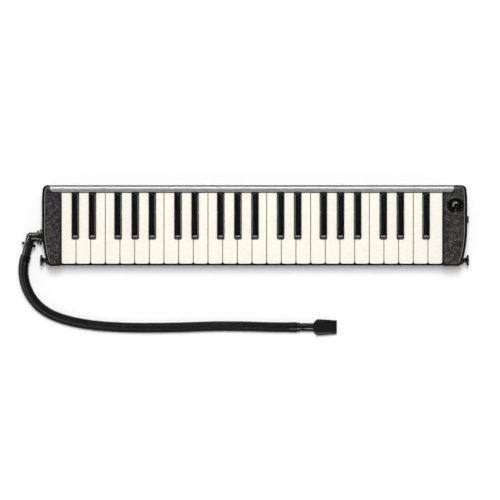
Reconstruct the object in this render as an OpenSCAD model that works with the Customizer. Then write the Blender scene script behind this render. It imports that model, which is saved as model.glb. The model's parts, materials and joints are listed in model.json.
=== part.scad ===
// Piano-style melodica with 44 keys, a flexible blow hose and a pickup output.
// Frame: +X to the treble end, +Y to the rear rail, +Z up.
// The origin is the middle of the body's footprint, on the face it rests on.

/* [Keyboard] */
// Number of semitones, starting at C
keys = 44; // [13:1:44]
// Width of one white key, gap included
white_pitch = 20; // [18:0.5:23]
// Gap between neighbouring white keys
white_gap = 0.8; // [0.6:0.1:1.2]
// Width of a black key at its base
black_w = 9; // [8:0.1:10]
// Clearance on each side of a black key
black_clear = 0.6; // [0.5:0.1:1.2]
// Clearance in front of a black key, for its swing
tip_clear = 0.9; // [0.9:0.1:1.4]
// Height of the white key tops above the table
white_top = 46; // [44:0.5:48]
// How far the black keys stand above the white ones
black_rise = 7.5; // [5:0.5:9]

/* [Body] */
// Length of the body along X
body_l = 580; // [560:1:620]
// Depth of the body along Y
body_w = 109.5; // [106:0.5:116]
// Height of the end blocks
body_h = 50; // [49:0.5:52]
// Width of the left end block, up to the first key
left_block = 26.5; // [24:0.5:34]
// Height of the seam between the two case halves
seam_z = 8; // [7:0.5:10]
// Wall thickness of the case
wall = 2.5; // [2:0.1:3]
// How far the end blocks stand out in front of the keyboard
block_step = 1; // [0.5:0.1:2]
// Radius of the rounding along the top edge
edge_r = 2.5; // [2:0.5:4]

/* [Rail] */
// Depth of the metal rail over the key tails
rail_w = 9.7; // [9:0.1:12]
// How far the rail reaches over each end block
rail_lap = 15.3; // [10:0.1:18]

/* [Blowing parts] */
// Height of the blow port axis
port_z = 18; // [17:0.5:19]
// Place of the blow port along Y
port_y = -16.2; // [-18:0.1:-12]
// Outside radius of the hose
hose_r = 7.1; // [6.6:0.1:7.4]
// Inside radius of the hose
hose_bore_r = 4.4; // [4:0.1:4.6]

/* [Controls] */
// Radius of the volume knob
knob_r = 7.8; // [6:0.1:8.5]
// Bore radius of the output jack, for a 6.35 mm plug
jack_bore_r = 3.25; // [3.2:0.01:3.3]

/* [Hidden] */
$fn = 48;
eps = 0.01;
seat_gap = 0.15;
well_gap = 0.4;
taper = 3.7;

NOTES = ["c", "c_sharp", "d", "d_sharp", "e", "f", "f_sharp", "g", "g_sharp", "a", "a_sharp", "b"];
WHITE_OF = [0, 0, 1, 1, 2, 3, 3, 4, 4, 5, 5, 6];
function is_black(n) = len(search(n % 12, [1, 3, 6, 8, 10])) > 0;
function has_black(n) = n >= 0 && n < keys && is_black(n);
function key_name(n) = str("key_", n < 9 ? "0" : "", n + 1, "_", NOTES[n % 12]);
FIXED_NODES = ["upper_case", "chamber_frame", "bottom_cover", "top_rail", "reed_plates", "pivot_rod",
    "return_springs", "case_screws", "strap_fittings", "pickup_unit"];
MOVING_NODES = ["blow_elbow", "hose", "hose_tip", "mouthpiece", "volume_knob", "drain_button"];

// Body frame
half_l = body_l / 2;
half_w = body_w / 2;
kb_x0 = -half_l + left_block;
whites = 7 * floor((keys - 1) / 12) + WHITE_OF[(keys - 1) % 12] + 1;
kb_x1 = kb_x0 + whites * white_pitch;

// Keys, seen from the side
front_wall = 1.4;
rear_wall = 2.2;
white_front_y = -half_w + 2.2;
black_front_y = -18.8;
key_rear_y = 49;
rail_front_y = half_w - rail_w;
black_rear_y = rail_front_y - 1.8;
key_plate = 2.4;
key_wall = 1.6;
skirt_z = white_top - 8;
lip_z = white_top - 11;
slot_w = black_w + 2 * black_clear;
notch_y = black_front_y - tip_clear;
black_top = white_top + black_rise;

// Key pivot, pallets and springs
pivot_y = 18;
pivot_z = 34;
rod_r = 1.5;
running = 0.05;
hole_gap = 0.1;
hanger_w = 5;
pad_y = 40;
pad_size = [8, 12, 1.8];
spring_y = 2;
spring_r = 2.4;
wire_r = 0.35;

// Wind chamber
deck_z = 30;
deck_t = 5;
chamber_front_y = -28;
chamber_rear_y = 51.5;
frame_x0 = kb_x0 + 0.5;
frame_x1 = kb_x1 - 0.5;
floor_t = 3;
reed_plate_t = 1;

// Side fittings
side_z = 24;
pin_y = -48.1;
jack_y = 7.7;
jack_reach = 2.4;
jack_thread_r = 4.8;
nut_r = 7;
nut_recess_r = 8.3;
nut_recess = 2.1;
knob_pos = [half_l - 15.8, 26.8];
knob_floor_z = body_h - 2.5;
knob_recess_r = 10.5;
pot_shaft_r = 3;
pot_r = 8;
pot_neck_r = 4;
drain_pos = [kb_x1 - 24, 26];
drain_r = 6;
drain_seat_top = 4;
drain_flange = 2.6;
spring_seat_z = 6.6;
screw_head_r = 3.4;
screw_r = 1.5;
screw_l = 16;
post_z = 11.2;
post_r = 4.5;
END_SCREWS = [for (x = [-half_l + 16, half_l - 18], y = [-41, 42]) [x, y]];
MIDDLE_SCREWS = [for (x = [-half_l / 3, half_l / 3]) [x, -41]];

// Hose and mouthpiece, seen from above
bend_r = 6.7;
bend_tube_r = 6.4;
plug_r = 6.3;
plug_l = 29;
socket_r = 9;
air_r = 3.5;
bend_turn = 75;
bend_x = -half_l - 10.8;
leg_dir = [-cos(bend_turn), -sin(bend_turn)];
leg_start = [bend_x - bend_r * sin(bend_turn), port_y - bend_r + bend_r * cos(bend_turn)];
leg_flange = 4.7;
flange_r = 9.8;
flange_t = 2.6;
cuff_r = 6.2;
cuff_l = 16.4;
spigot_l = 9;
stem_r = 5.8;
stem_tip_r = 4.6;
stem_bore_r = 3;
tip_x = 58;
mouth_x = 80.5;
mouth_l = 32;
mouth_w = 22.2;
mouth_t = 11.6;
hose_y = -139.6;

function bezier(p, t) = let (s = 1 - t)
    s * s * s * p[0] + 3 * s * s * t * p[1] + 3 * s * t * t * p[2] + t * t * t * p[3];

// ---------------------------------------------------------------- case outline

// How far the side of the body draws in from its widest line, at a given Y
function side_inset(y) = y > 30 ? pow((y - 30) / 18, 2) : y < -5 ? taper * pow((-5 - y) / 34, 1.7) : 0;

corner_r = 7;
chamfer_y = -39;
front_half = half_l - 10.5;
block_y = -half_w - block_step;
function side_points(key_end) = concat(
    [for (a = [90 : -15 : 0])
        [half_l - 1 - corner_r + corner_r * cos(a), half_w - corner_r + corner_r * sin(a)]],
    [for (y = [42 : -6 : chamfer_y]) [half_l - side_inset(y), y]],
    [for (t = [0 : 0.25 : 1]) bezier([[half_l - taper, chamfer_y], [front_half + 3.9, block_y + 5.7],
        [front_half + 3.1, block_y], [front_half - 1, block_y]], t)],
    [[key_end + 2, block_y], [key_end + 1.4, -half_w]]
);
RIGHT = side_points(kb_x1);
LEFT = side_points(-kb_x0);
OUTLINE = concat(RIGHT, [for (i = [len(LEFT) - 1 : -1 : 0]) [-LEFT[i][0], LEFT[i][1]]]);

module case_outline(inset = 0) offset(delta = -inset) polygon(OUTLINE);

// Outer form of the upper case: straight walls, then a rounded top edge
module upper_block() hull() for (a = [0 : 30 : 90])
    translate([0, 0, seam_z + 0.3])
        linear_extrude(body_h - edge_r + edge_r * sin(a) - seam_z - 0.3)
            case_outline(edge_r * (1 - cos(a)));

// Hollow of the end blocks, below their roofs
module end_hollow(x0, x1) intersection() {
    translate([0, 0, -1]) linear_extrude(body_h) case_outline(wall);
    translate([x0, -half_w, -1]) cube([x1 - x0, body_w, body_h - 4.5]);
}

module screw_post(p, top) translate([p[0], p[1], post_z]) difference() {
    cylinder(r = post_r, h = top - post_z);
    translate([0, 0, -1]) cylinder(r = screw_r + hole_gap, h = screw_l - 7);
}

module upper_case() color([0.17, 0.165, 0.16]) {
    difference() {
        union() {
            upper_block();
            // bosses that the strap pins are seated on
            for (s = [-1, 1]) translate([s * (pin_seat_x - boss_l), pin_y, side_z])
                rotate([0, s * 90, 0]) cylinder(r = pin_base_r + boss_wall, h = boss_l + boss_lip);
        }
        // key well, open to the rail seat at the rear
        translate([kb_x0 - well_gap, -half_w + front_wall, 0])
            cube([kb_x1 - kb_x0 + 2 * well_gap, body_w - front_wall - rear_wall, 100]);
        // the front wall stops below the key lips
        translate([kb_x0 - well_gap, -half_w - 1, lip_z - 2]) cube([kb_x1 - kb_x0 + 2 * well_gap, 10, 100]);
        rail_seat();
        end_hollow(-half_l, kb_x0 - well_gap - wall);
        end_hollow(kb_x1 + well_gap + wall, half_l);
        // blow port, output jack and volume knob
        translate([-half_l - 1, port_y, port_z]) rotate([0, 90, 0]) cylinder(r = socket_r + 0.3, h = 40);
        translate([half_l, jack_y, side_z]) rotate([0, 90, 0]) {
            translate([0, 0, -12]) cylinder(r = jack_thread_r + hole_gap, h = 20);
            translate([0, 0, -nut_recess]) cylinder(r = nut_recess_r, h = 20);
        }
        translate([knob_pos[0], knob_pos[1], knob_floor_z]) cylinder(r = knob_recess_r, h = 10);
        translate([knob_pos[0], knob_pos[1], knob_floor_z - 10]) cylinder(r = pot_neck_r + 0.2, h = 20);
        for (s = [-1, 1]) translate([s * pin_seat_x, pin_y, side_z]) rotate([0, s * 90, 0]) {
            cylinder(r = pin_base_r + seat_gap, h = 10);
            translate([0, 0, -pin_screw_l - 1]) cylinder(r = screw_r + hole_gap, h = 20);
        }
    }
    for (p = END_SCREWS) screw_post(p, body_h - 5);
}

// Room for the rail on the end blocks, and for its hook over the rear wall
module rail_seat() {
    translate([0, 0, rail_lip_z - seat_gap]) linear_extrude(20) rail_plan(seat_gap);
    translate([rail_x0 - seat_gap, half_w - rail_hook - seat_gap, rail_z0 - seat_gap])
        cube([rail_x1 - rail_x0 + 2 * seat_gap, 10, 20]);
}

// ---------------------------------------------------------------- metal rail

rail_x0 = kb_x0 - rail_lap;
rail_x1 = kb_x1 + rail_lap;
rail_cut = 3.2;
rail_rear_y = half_w + 0.1;
rail_hook = 2.4;

// The rail from above, with its front corners cut off
module rail_plan(grow = 0)
    polygon([
        [rail_x0 - grow, rail_rear_y + grow * 10],
        [rail_x0 - grow, rail_front_y + rail_cut],
        [rail_x0 + rail_cut, rail_front_y - grow],
        [rail_x1 - rail_cut, rail_front_y - grow],
        [rail_x1 + grow, rail_front_y + rail_cut],
        [rail_x1 + grow, rail_rear_y + grow * 10]
    ]);

rail_z0 = body_h - 4;
rail_top = body_h + 2.4;
rail_lip_z = body_h - 1.3;

// Rear edge of the rail, as [distance from the rear face, drop from the top]
RAIL_EDGE = [[0, 1.95], [0.4, 1.5], [2.5, 0.42], [3.3, 0.22], [4.6, 0.07]];

// Section of the extrusion as [Y, Z]: a sloping rear edge, a nearly level crown and a front lip
RAIL_SECTION = concat(
    [[half_w, rail_z0]],
    [for (p = RAIL_EDGE) [half_w - p[0], rail_top - p[1]]],
    [[rail_front_y + 4, rail_top], [rail_front_y + 1.2, rail_top - 0.14]],
    [[rail_front_y + 0.5, rail_top - 0.3], [rail_front_y, rail_top - 0.8], [rail_front_y, rail_lip_z],
        [half_w - rail_hook, rail_lip_z], [half_w - rail_hook, rail_z0]]
);

module top_rail() color([0.72, 0.72, 0.73]) intersection() {
    translate([rail_x0, 0, 0]) rotate([90, 0, 90]) linear_extrude(rail_x1 - rail_x0) polygon(RAIL_SECTION);
    translate([0, 0, 30]) linear_extrude(40) rail_plan();
}

// ---------------------------------------------------------------- bottom cover

strap_bay = [200, 42, 3];
plinth = 1.5;

// A tray with a plinth under it, and a shallow bay for the hand strap
module bottom_cover() color([0.09, 0.09, 0.09]) difference() {
    union() {
        difference() {
            union() {
                linear_extrude(floor_t) case_outline(plinth);
                translate([0, 0, plinth]) linear_extrude(seam_z - plinth) polygon(OUTLINE);
            }
            translate([0, 0, floor_t]) linear_extrude(20) case_outline(wall);
        }
        translate([-strap_bay[0] / 2 - wall, -strap_bay[1] / 2 - wall, 1])
            cube([strap_bay[0] + 2 * wall, strap_bay[1] + 2 * wall, strap_bay[2] + 0.6]);
        for (p = concat(END_SCREWS, MIDDLE_SCREWS)) translate([p[0], p[1], 1])
            cylinder(r = post_r + 0.5, h = post_z - 1.3);
        drain_seat();
    }
    translate([-strap_bay[0] / 2, -strap_bay[1] / 2, -1])
        cube([strap_bay[0], strap_bay[1], strap_bay[2] + 1]);
    for (p = concat(END_SCREWS, MIDDLE_SCREWS)) translate([p[0], p[1], -1]) {
        cylinder(r = screw_head_r + 0.3, h = 4);
        cylinder(r = screw_r + 0.2, h = 20);
    }
    translate([drain_pos[0], drain_pos[1], -1]) {
        cylinder(r = drain_r + seat_gap, h = 20);
        cylinder(r = drain_r + 3, h = 1.6);
    }
}

module drain_seat() translate([drain_pos[0], drain_pos[1], 0.5])
    cylinder(r = drain_r + 5, h = drain_seat_top - 0.5);

// ---------------------------------------------------------------- wind chamber

// Middles of the black keys within an octave, in white keys from its C
BLACK_AT = [0, 0.955, 0, 2.12, 0, 0, 3.87, 0, 5.04, 0, 6.205, 0];
function black_x(n) = kb_x0 + white_pitch * (7 * floor(n / 12) + BLACK_AT[n % 12]);
function white_x(n) = kb_x0 + white_pitch * (7 * floor(n / 12) + WHITE_OF[n % 12]);
function tail_x0(n) = has_black(n - 1) ? black_x(n - 1) + slot_w / 2 : white_x(n) + white_gap / 2;
function tail_x1(n) = has_black(n + 1) ? black_x(n + 1) - slot_w / 2
    : white_x(n) + white_pitch - white_gap / 2;
// Middle of each key where its pivot, spring and pallet are
function key_x(n) = is_black(n) ? black_x(n) : (tail_x0(n) + tail_x1(n)) / 2;

// Reeds get shorter by the same ratio at each semitone
reed_long = 42;
reed_short = 17;
function reed_l(n) = reed_long * pow(reed_short / reed_long, n / 43);
reed_tip_y = 45;
reed_w = 3.2;

// Rod supports stand where no black key passes: at the ends, and before each C and F
support_t = 2.2;
SUPPORT_X = concat([frame_x0],
    [for (n = [1 : keys - 1]) if (!is_black(n) && !is_black(n - 1)) white_x(n) - support_t / 2],
    [frame_x1 - support_t]);

module chamber_frame() color([0.12, 0.12, 0.13]) difference() {
    union() {
        translate([frame_x0, chamber_front_y, deck_z - deck_t])
            cube([frame_x1 - frame_x0, chamber_rear_y - chamber_front_y, deck_t]);
        // chamber walls stand on the bottom cover
        translate([frame_x0, chamber_front_y, floor_t + 0.1]) difference() {
            cube([frame_x1 - frame_x0, chamber_rear_y - chamber_front_y, deck_z - deck_t]);
            translate([wall, wall, -1])
                cube([frame_x1 - frame_x0 - 2 * wall, chamber_rear_y - chamber_front_y - 2 * wall, 60]);
        }
        // shelf under the key heads, with the two stop ribs
        translate([frame_x0, -half_w + 2.5, deck_z - 3])
            cube([frame_x1 - frame_x0, chamber_front_y + half_w, 3]);
        translate([frame_x0, -46, deck_z - 1]) cube([frame_x1 - frame_x0, 6, 3]);
        translate([frame_x0, -14, deck_z - 1]) cube([frame_x1 - frame_x0, 5, 4]);
        for (x = SUPPORT_X) translate([x, pivot_y - 4, deck_z - 1]) cube([support_t, 8, 7.6]);
        for (p = MIDDLE_SCREWS) screw_post(p, deck_z - 2);
        // blow port socket, out through the left end block
        translate([-half_l + 0.6, port_y, port_z]) rotate([0, 90, 0])
            cylinder(r = socket_r, h = frame_x0 + half_l);
    }
    for (n = [0 : keys - 1]) translate([key_x(n), 0, 0]) {
        // pallet hole, and the channel from the reed to it
        translate([-2.25, pad_y - 4, deck_z - deck_t - 1]) cube([4.5, 8, deck_t + 2]);
        translate([-2.5, reed_tip_y - reed_l(n), deck_z - deck_t - 1]) cube([5, reed_l(n), 3.5]);
    }
    translate([frame_x0 - 1, pivot_y, pivot_z]) rotate([0, 90, 0])
        cylinder(r = rod_r, h = frame_x1 - frame_x0 + 2);
    translate([-half_l - 1, port_y, port_z]) rotate([0, 90, 0])
        cylinder(r = plug_r + running, h = frame_x0 + half_l + 10);
}

// Four plates, each with its row of slots; the reeds are separate tongues on the chamber side
module reed_plates() color([0.78, 0.62, 0.33]) {
    plate_z = deck_z - deck_t - 0.1 - reed_plate_t;
    per_plate = ceil(keys / 4);
    for (p = [0 : 3])
        if (p * per_plate < keys) {
            first = p * per_plate;
            last = min(keys, first + per_plate) - 1;
            x0 = max(key_x(first) - 5.3, frame_x0 + wall + 0.1);
            difference() {
                translate([x0, reed_tip_y - reed_l(first) - 6, plate_z])
                    cube([key_x(last) + 5.3 - x0, reed_l(first) + 9, reed_plate_t]);
                for (n = [first : last]) {
                    translate([key_x(n) - reed_w / 2 - 0.1, reed_tip_y - reed_l(n), plate_z - 1])
                        cube([reed_w + 0.2, reed_l(n) + 0.3, 4]);
                    translate([key_x(n), reed_tip_y - reed_l(n) - 2.5, plate_z - 1])
                        cylinder(r = 1.05, h = 4);
                }
            }
        }
    for (n = [0 : keys - 1]) translate([key_x(n), reed_tip_y - reed_l(n), plate_z]) {
        translate([-reed_w / 2, -4.5, -0.35]) cube([reed_w, reed_l(n) + 4.3, 0.3]);
        translate([0, -2.5, -0.9]) cylinder(r = 1, h = reed_plate_t + 0.8);
    }
}

module pivot_rod() color([0.75, 0.75, 0.77])
    translate([frame_x0, pivot_y, pivot_z]) rotate([0, 90, 0])
        cylinder(r = rod_r - running, h = frame_x1 - frame_x0);

module spring_tube(h) difference() {
    cylinder(r = spring_r, h = h);
    translate([0, 0, -1]) cylinder(r = spring_r - 2 * wire_r, h = h + 2);
}

// One spring under each key, and one over the drain valve
module return_springs() color([0.7, 0.7, 0.72]) {
    for (n = [0 : keys - 1]) translate([key_x(n), spring_y, deck_z + 0.1])
        spring_tube(white_top - key_plate - deck_z - 0.2);
    translate([drain_pos[0], drain_pos[1], spring_seat_z])
        spring_tube(deck_z - deck_t - 2.6 - spring_seat_z);
}

// ---------------------------------------------------------------- keys

// A white key from above: a full-width head, and a tail between the black keys
function white_outline(n, d) = let (
        x0 = white_x(n) + white_gap / 2 + d, x1 = white_x(n) + white_pitch - white_gap / 2 - d,
        t0 = tail_x0(n) + d, t1 = tail_x1(n) - d, y0 = white_front_y + d, y1 = key_rear_y - d,
        yn = notch_y - d, r = max(2 - d, 0.4))
    concat(
        [for (a = [180 : 18 : 270]) [x0 + r + r * cos(a), y0 + r + r * sin(a)]],
        [for (a = [270 : 18 : 360]) [x1 - r + r * cos(a), y0 + r + r * sin(a)]],
        has_black(n + 1) ? [[x1, yn], [t1, yn]] : [], [[t1, y1], [t0, y1]],
        has_black(n - 1) ? [[t0, yn], [x0, yn]] : []
    );

// Hanger for the rod, and the foot that carries the pallet
module key_underside(n, top_z) translate([key_x(n), 0, 0]) {
    translate([-hanger_w / 2, pivot_y - 4.5, pivot_z - 3]) cube([hanger_w, 9, top_z - pivot_z + 3]);
    translate([-pad_size[0] / 2, pad_y - pad_size[1] / 2, deck_z + 0.2 + pad_size[2]])
        cube([pad_size[0], pad_size[1], top_z - deck_z - 0.2 - pad_size[2]]);
}

module pivot_bore(n) translate([key_x(n) - 10, pivot_y, pivot_z]) rotate([0, 90, 0])
    cylinder(r = rod_r, h = 20);

module pallet_pad(n) color([0.55, 0.3, 0.2])
    translate([key_x(n) - pad_size[0] / 2, pad_y - pad_size[1] / 2, deck_z + 0.1])
        cube([pad_size[0], pad_size[1], pad_size[2]]);

module white_key(n) {
    color([0.94, 0.93, 0.88]) difference() {
        union() {
            difference() {
                translate([0, 0, skirt_z]) linear_extrude(white_top - skirt_z) polygon(white_outline(n, 0));
                translate([0, 0, skirt_z - 1]) linear_extrude(white_top - key_plate - skirt_z + 1)
                    polygon(white_outline(n, key_wall));
            }
            // the front lip is deeper than the skirts
            translate([white_x(n) + white_gap / 2 + 2, white_front_y, lip_z])
                cube([white_pitch - white_gap - 4, key_wall, white_top - lip_z - 1]);
            key_underside(n, white_top - 1);
        }
        pivot_bore(n);
    }
    pallet_pad(n);
}

black_skirt = skirt_z;
black_rear_top = white_top - 1.6;
// Upper levels of a black key, as [drop from its top, draw-in at the sides, set-back in front]
BLACK_LEVELS = [[2.2, 0.5, 1.6], [eps, 1.2, 4.2]];

module black_key(n) {
    x = black_x(n);
    color([0.03, 0.03, 0.03]) difference() {
        union() {
            difference() {
                translate([x - black_w / 2, black_front_y, black_skirt])
                    cube([black_w, key_rear_y - black_front_y, black_rear_top - black_skirt]);
                translate([x - black_w / 2 + key_wall, black_front_y + key_wall, black_skirt - 1])
                    cube([black_w - 2 * key_wall, key_rear_y - black_front_y - 2 * key_wall,
                        white_top - key_plate - black_skirt + 1]);
            }
            // the part that is played: narrower at the top, with a sloping front
            hull() {
                translate([x - black_w / 2, black_front_y, white_top - key_plate])
                    cube([black_w, black_rear_y - black_front_y, 1.8]);
                for (level = BLACK_LEVELS)
                    translate([x - black_w / 2 + level[1], black_front_y + level[2], black_top - level[0]])
                        cube([black_w - 2 * level[1], black_rear_y - black_front_y - level[2], eps]);
            }
            key_underside(n, black_rear_top);
        }
        pivot_bore(n);
    }
    pallet_pad(n);
}

// ---------------------------------------------------------------- fasteners and fittings

module countersunk_screw(l) {
    difference() {
        cylinder(r = screw_head_r, h = 1.8);
        for (a = [0, 90]) rotate([0, 0, a]) translate([-2, -0.45, -1]) cube([4, 0.9, 1.9]);
    }
    cylinder(r = screw_r, h = l);
}

module case_screws() color([0.35, 0.35, 0.36])
    for (p = concat(END_SCREWS, MIDDLE_SCREWS)) translate([p[0], p[1], 1.1]) countersunk_screw(screw_l);

// Turned buttons that hold a shoulder strap
pin_reach = 9.3;
boss_l = 8;
boss_lip = 0.3;
boss_wall = 0.8;
pin_neck_r = 3.2;
pin_base_r = 5.2;
pin_screw_l = 9;
pin_head_r = 7.5;
module strap_pin() rotate_extrude() polygon([
    [0, 0], [pin_base_r, 0], [pin_base_r, 0.8], [pin_neck_r, 2.2], [pin_neck_r, 4.4], [pin_head_r, 6.4],
    [pin_head_r, 8.4], [6.7, 9.1], [3, pin_reach], [2.2, pin_reach - 1], [0, pin_reach - 1]
]);

pin_seat_x = half_l - 6.2;
strap_t = 1.8;
strap_w = 34;
plate_size = [10, 36];

// Strap pins at both ends, and the hand strap flat in its bay between two screwed plates
module strap_fittings() color([0.08, 0.08, 0.08]) {
    for (s = [-1, 1]) translate([s * pin_seat_x, pin_y, side_z]) rotate([0, s * 90, 0]) {
        strap_pin();
        translate([0, 0, -pin_screw_l]) cylinder(r = screw_r, h = pin_screw_l + 0.5);
    }
    translate([-strap_bay[0] / 2 + 2, -strap_w / 2, strap_bay[2] - strap_t - 0.1])
        cube([strap_bay[0] - 4, strap_w, strap_t]);
    for (s = [-1, 1])
        translate([s * (strap_bay[0] / 2 - 9) - plate_size[0] / 2, -plate_size[1] / 2, 0.1])
            cube([plate_size[0], plate_size[1], strap_bay[2] - strap_t - 0.3]);
}

// Pickup board, with the output jack under it and the volume control on it
module pickup_unit() color([0.15, 0.2, 0.16]) {
    difference() {
        union() {
            translate([half_l - 24, jack_y - 7, side_z - 7]) cube([18.5, 14, 17.2]);
            translate([half_l - 7, jack_y, side_z]) rotate([0, 90, 0])
                cylinder(r = jack_thread_r, h = 7 + jack_reach);
            translate([half_l - nut_recess + 0.1, jack_y, side_z]) rotate([0, 90, 0])
                cylinder(r = nut_r, h = 1.8, $fn = 6);
        }
        translate([half_l - 20, jack_y, side_z]) rotate([0, 90, 0]) cylinder(r = jack_bore_r, h = 30);
    }
    translate([half_l - 29, -2, side_z + 10.3]) cube([24, 38, 1.6]);
    difference() {
        union() {
            translate([knob_pos[0], knob_pos[1], knob_floor_z - 11.5]) cylinder(r = pot_r, h = 8);
            translate([knob_pos[0], knob_pos[1], knob_floor_z - 5]) cylinder(r = pot_neck_r, h = 5);
        }
        translate([knob_pos[0], knob_pos[1], knob_floor_z - 9]) cylinder(r = pot_shaft_r + running, h = 20);
    }
}

module volume_knob() color([0.05, 0.05, 0.05]) translate([knob_pos[0], knob_pos[1], knob_floor_z]) {
    difference() {
        rotate_extrude() polygon(concat(
            [[0, 0.4], [knob_r, 0.4], [knob_r, 4.5], [knob_r - 0.8, 6]],
            [for (a = [0 : 15 : 90]) [(knob_r - 1.6) * cos(a), 6 + 2 * sin(a)]]
        ));
        translate([0, -knob_r + 1.6, 5.4]) translate([-0.5, -2, 0]) cube([1, 3, 4]);
    }
    translate([0, 0, -8.5]) cylinder(r = pot_shaft_r, h = 9.5);
}

module drain_button() color([0.1, 0.1, 0.1]) translate([drain_pos[0], drain_pos[1], 0]) {
    translate([0, 0, 0.7]) cylinder(r = drain_r, h = drain_seat_top - 0.5);
    translate([0, 0, drain_seat_top + running]) cylinder(r = drain_r + drain_flange, h = 1.2);
    translate([0, 0, drain_seat_top + 0.2]) cylinder(r = 4, h = 2.3);
    translate([0, 0, drain_seat_top + 0.3]) cylinder(r = spring_r - 2 * wire_r - 0.3, h = 5.7);
}

// ---------------------------------------------------------------- blowing parts

module in_leg_frame() translate([leg_start[0], leg_start[1], port_z])
    rotate([0, 0, bend_turn]) rotate([0, -90, 0]) children();

// Stop collars on the plug, as [distance from the body, radius, thickness]
COLLARS = [[6.9, 9.2, 2.5], [3.1, 10.8, 2]];

// Plug, stop collars, bend, and the leg that the hose is pushed on to
module blow_elbow() color([0.06, 0.06, 0.06]) difference() {
    union() {
        translate([bend_x - eps, port_y, port_z]) rotate([0, 90, 0]) {
            cylinder(r = plug_r, h = plug_l);
            cylinder(r = bend_tube_r + 0.3, h = 8);
            for (collar = COLLARS)
                translate([0, 0, -half_l - bend_x - collar[0]]) cylinder(r = collar[1], h = collar[2]);
        }
        elbow_bend(bend_tube_r);
        in_leg_frame() translate([0, 0, -eps]) {
            cylinder(r = bend_tube_r + 0.2, h = leg_flange + 1);
            translate([0, 0, leg_flange]) cylinder(r = flange_r, h = flange_t);
            translate([0, 0, leg_flange + 2]) cylinder(r = cuff_r, h = cuff_l - 2.1);
            translate([0, 0, leg_flange + 2]) cylinder(r = hose_bore_r - 0.25, h = cuff_l + spigot_l - 3);
        }
    }
    translate([bend_x - eps, port_y, port_z]) rotate([0, 90, 0]) cylinder(r = air_r - 0.2, h = 40);
    elbow_bend(air_r);
    in_leg_frame() translate([0, 0, -eps]) cylinder(r = air_r - 0.1, h = 60);
}

module elbow_bend(r) translate([bend_x, port_y - bend_r, port_z])
    rotate([0, 0, 90]) rotate_extrude(angle = bend_turn) translate([bend_r, 0]) circle(r = r);

// Centre line of the hose: straight off the spigot, round the front corner, then along the floor
hose_end_dir = [1, 0, 0];
hose_start = [each leg_start + leg_dir * (leg_flange + cuff_l), port_z];
leg3 = [each leg_dir, 0];
BEND_1 = [hose_start + leg3 * spigot_l, hose_start + leg3 * 30 + [1, 0, -3],
    [-half_l - 22, -108, hose_r + 3], [-half_l + 16, -124, hose_r + 0.1]];
BEND_2 = [BEND_1[3], [-half_l + 54, -140, hose_r], [-half_l + 110, hose_y - 1, hose_r],
    [-half_l + 160, hose_y - 0.6, hose_r]];
BEND_3 = [BEND_2[3], [-half_l + 205, hose_y - 0.2, hose_r], [-half_l + 215, hose_y + 1.4, hose_r],
    [-half_l + 250, hose_y + 1.4, hose_r]];
BEND_4 = [BEND_3[3], [-half_l + 290, hose_y + 1.4, hose_r], [-half_l + 300, hose_y, hose_r],
    [tip_x - 14, hose_y, hose_r]];
HOSE_PATH = concat(
    [hose_start],
    [for (t = [0 : 0.1 : 0.95]) bezier(BEND_1, t)],
    [for (t = [0 : 0.125 : 0.95]) bezier(BEND_2, t)],
    [for (t = [0 : 0.25 : 0.95]) bezier(BEND_3, t)],
    [for (t = [0 : 0.25 : 1]) bezier(BEND_4, t)],
    [[tip_x, hose_y, hose_r]]
);

function unit(v) = v / norm(v);
function path_dir(p, i) = i == 0 ? unit(leg3) : i == len(p) - 1 ? hose_end_dir
    : unit(unit(p[i + 1] - p[i]) + unit(p[i] - p[i - 1]));

// A tube along a path, as one closed skin: outer wall, end ring, inner wall, end ring
module tube_along(path, ro, ri, sides) {
    m = len(path);
    function ring(i, r) = let (d = path_dir(path, i), u = unit(cross([0, 0, 1], d)), v = cross(d, u))
        [for (k = [0 : sides - 1]) path[i] + r * (cos(360 * k / sides) * u + sin(360 * k / sides) * v)];
    points = [
        for (i = [0 : m - 1]) each ring(i, ro),
        for (i = [m - 1 : -1 : 0]) each ring(i, ri)
    ];
    rings = 2 * m;
    faces = [for (i = [0 : rings - 1], k = [0 : sides - 1]) let (
            a = i * sides + k, b = i * sides + (k + 1) % sides,
            c = ((i + 1) % rings) * sides + (k + 1) % sides, d = ((i + 1) % rings) * sides + k)
        each [[a, c, b], [a, d, c]]];
    polyhedron(points, faces);
}

module hose() color([0.07, 0.07, 0.07]) tube_along(HOSE_PATH, hose_r, hose_bore_r, 16);

// Stem pushed into the hose end; the mouthpiece turns on it
module hose_tip() color([0.12, 0.12, 0.13])
    translate([tip_x, hose_y, hose_r]) rotate([0, 90, 0]) difference() {
    union() {
        translate([0, 0, -12]) cylinder(r = hose_bore_r - 0.2, h = 13);
        translate([0, 0, 0.1]) cylinder(r = hose_r, h = 4.5);
        translate([0, 0, 1]) cylinder(r = stem_r, h = mouth_x - tip_x - 1.1);
        translate([0, 0, 1]) cylinder(r = stem_tip_r, h = mouth_x - tip_x + 9);
    }
    translate([0, 0, -13]) cylinder(r = stem_bore_r, h = 60);
}

// Flat beak: widest just behind the shoulders, thinner towards the lips
module mouthpiece() color([0.06, 0.06, 0.06]) translate([mouth_x, hose_y, hose_r]) difference() {
    hull() {
        translate([eps, -6.6, -mouth_t / 2]) cube([0.5, 13.2, mouth_t]);
        translate([5.5, -mouth_w / 2, -mouth_t / 2]) cube([2, mouth_w, mouth_t]);
        translate([mouth_l - 0.5, -9.4, -3.2]) cube([0.5, 18.8, 6.4]);
    }
    translate([-1, 0, 0]) rotate([0, 90, 0]) cylinder(r = stem_tip_r + running, h = 13);
    hull() {
        translate([11, -3, -3]) cube([1, 6, 6]);
        translate([mouth_l, -7, -1.3]) cube([1, 14, 2.6]);
    }
}

// ---------------------------------------------------------------- assembly

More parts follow.
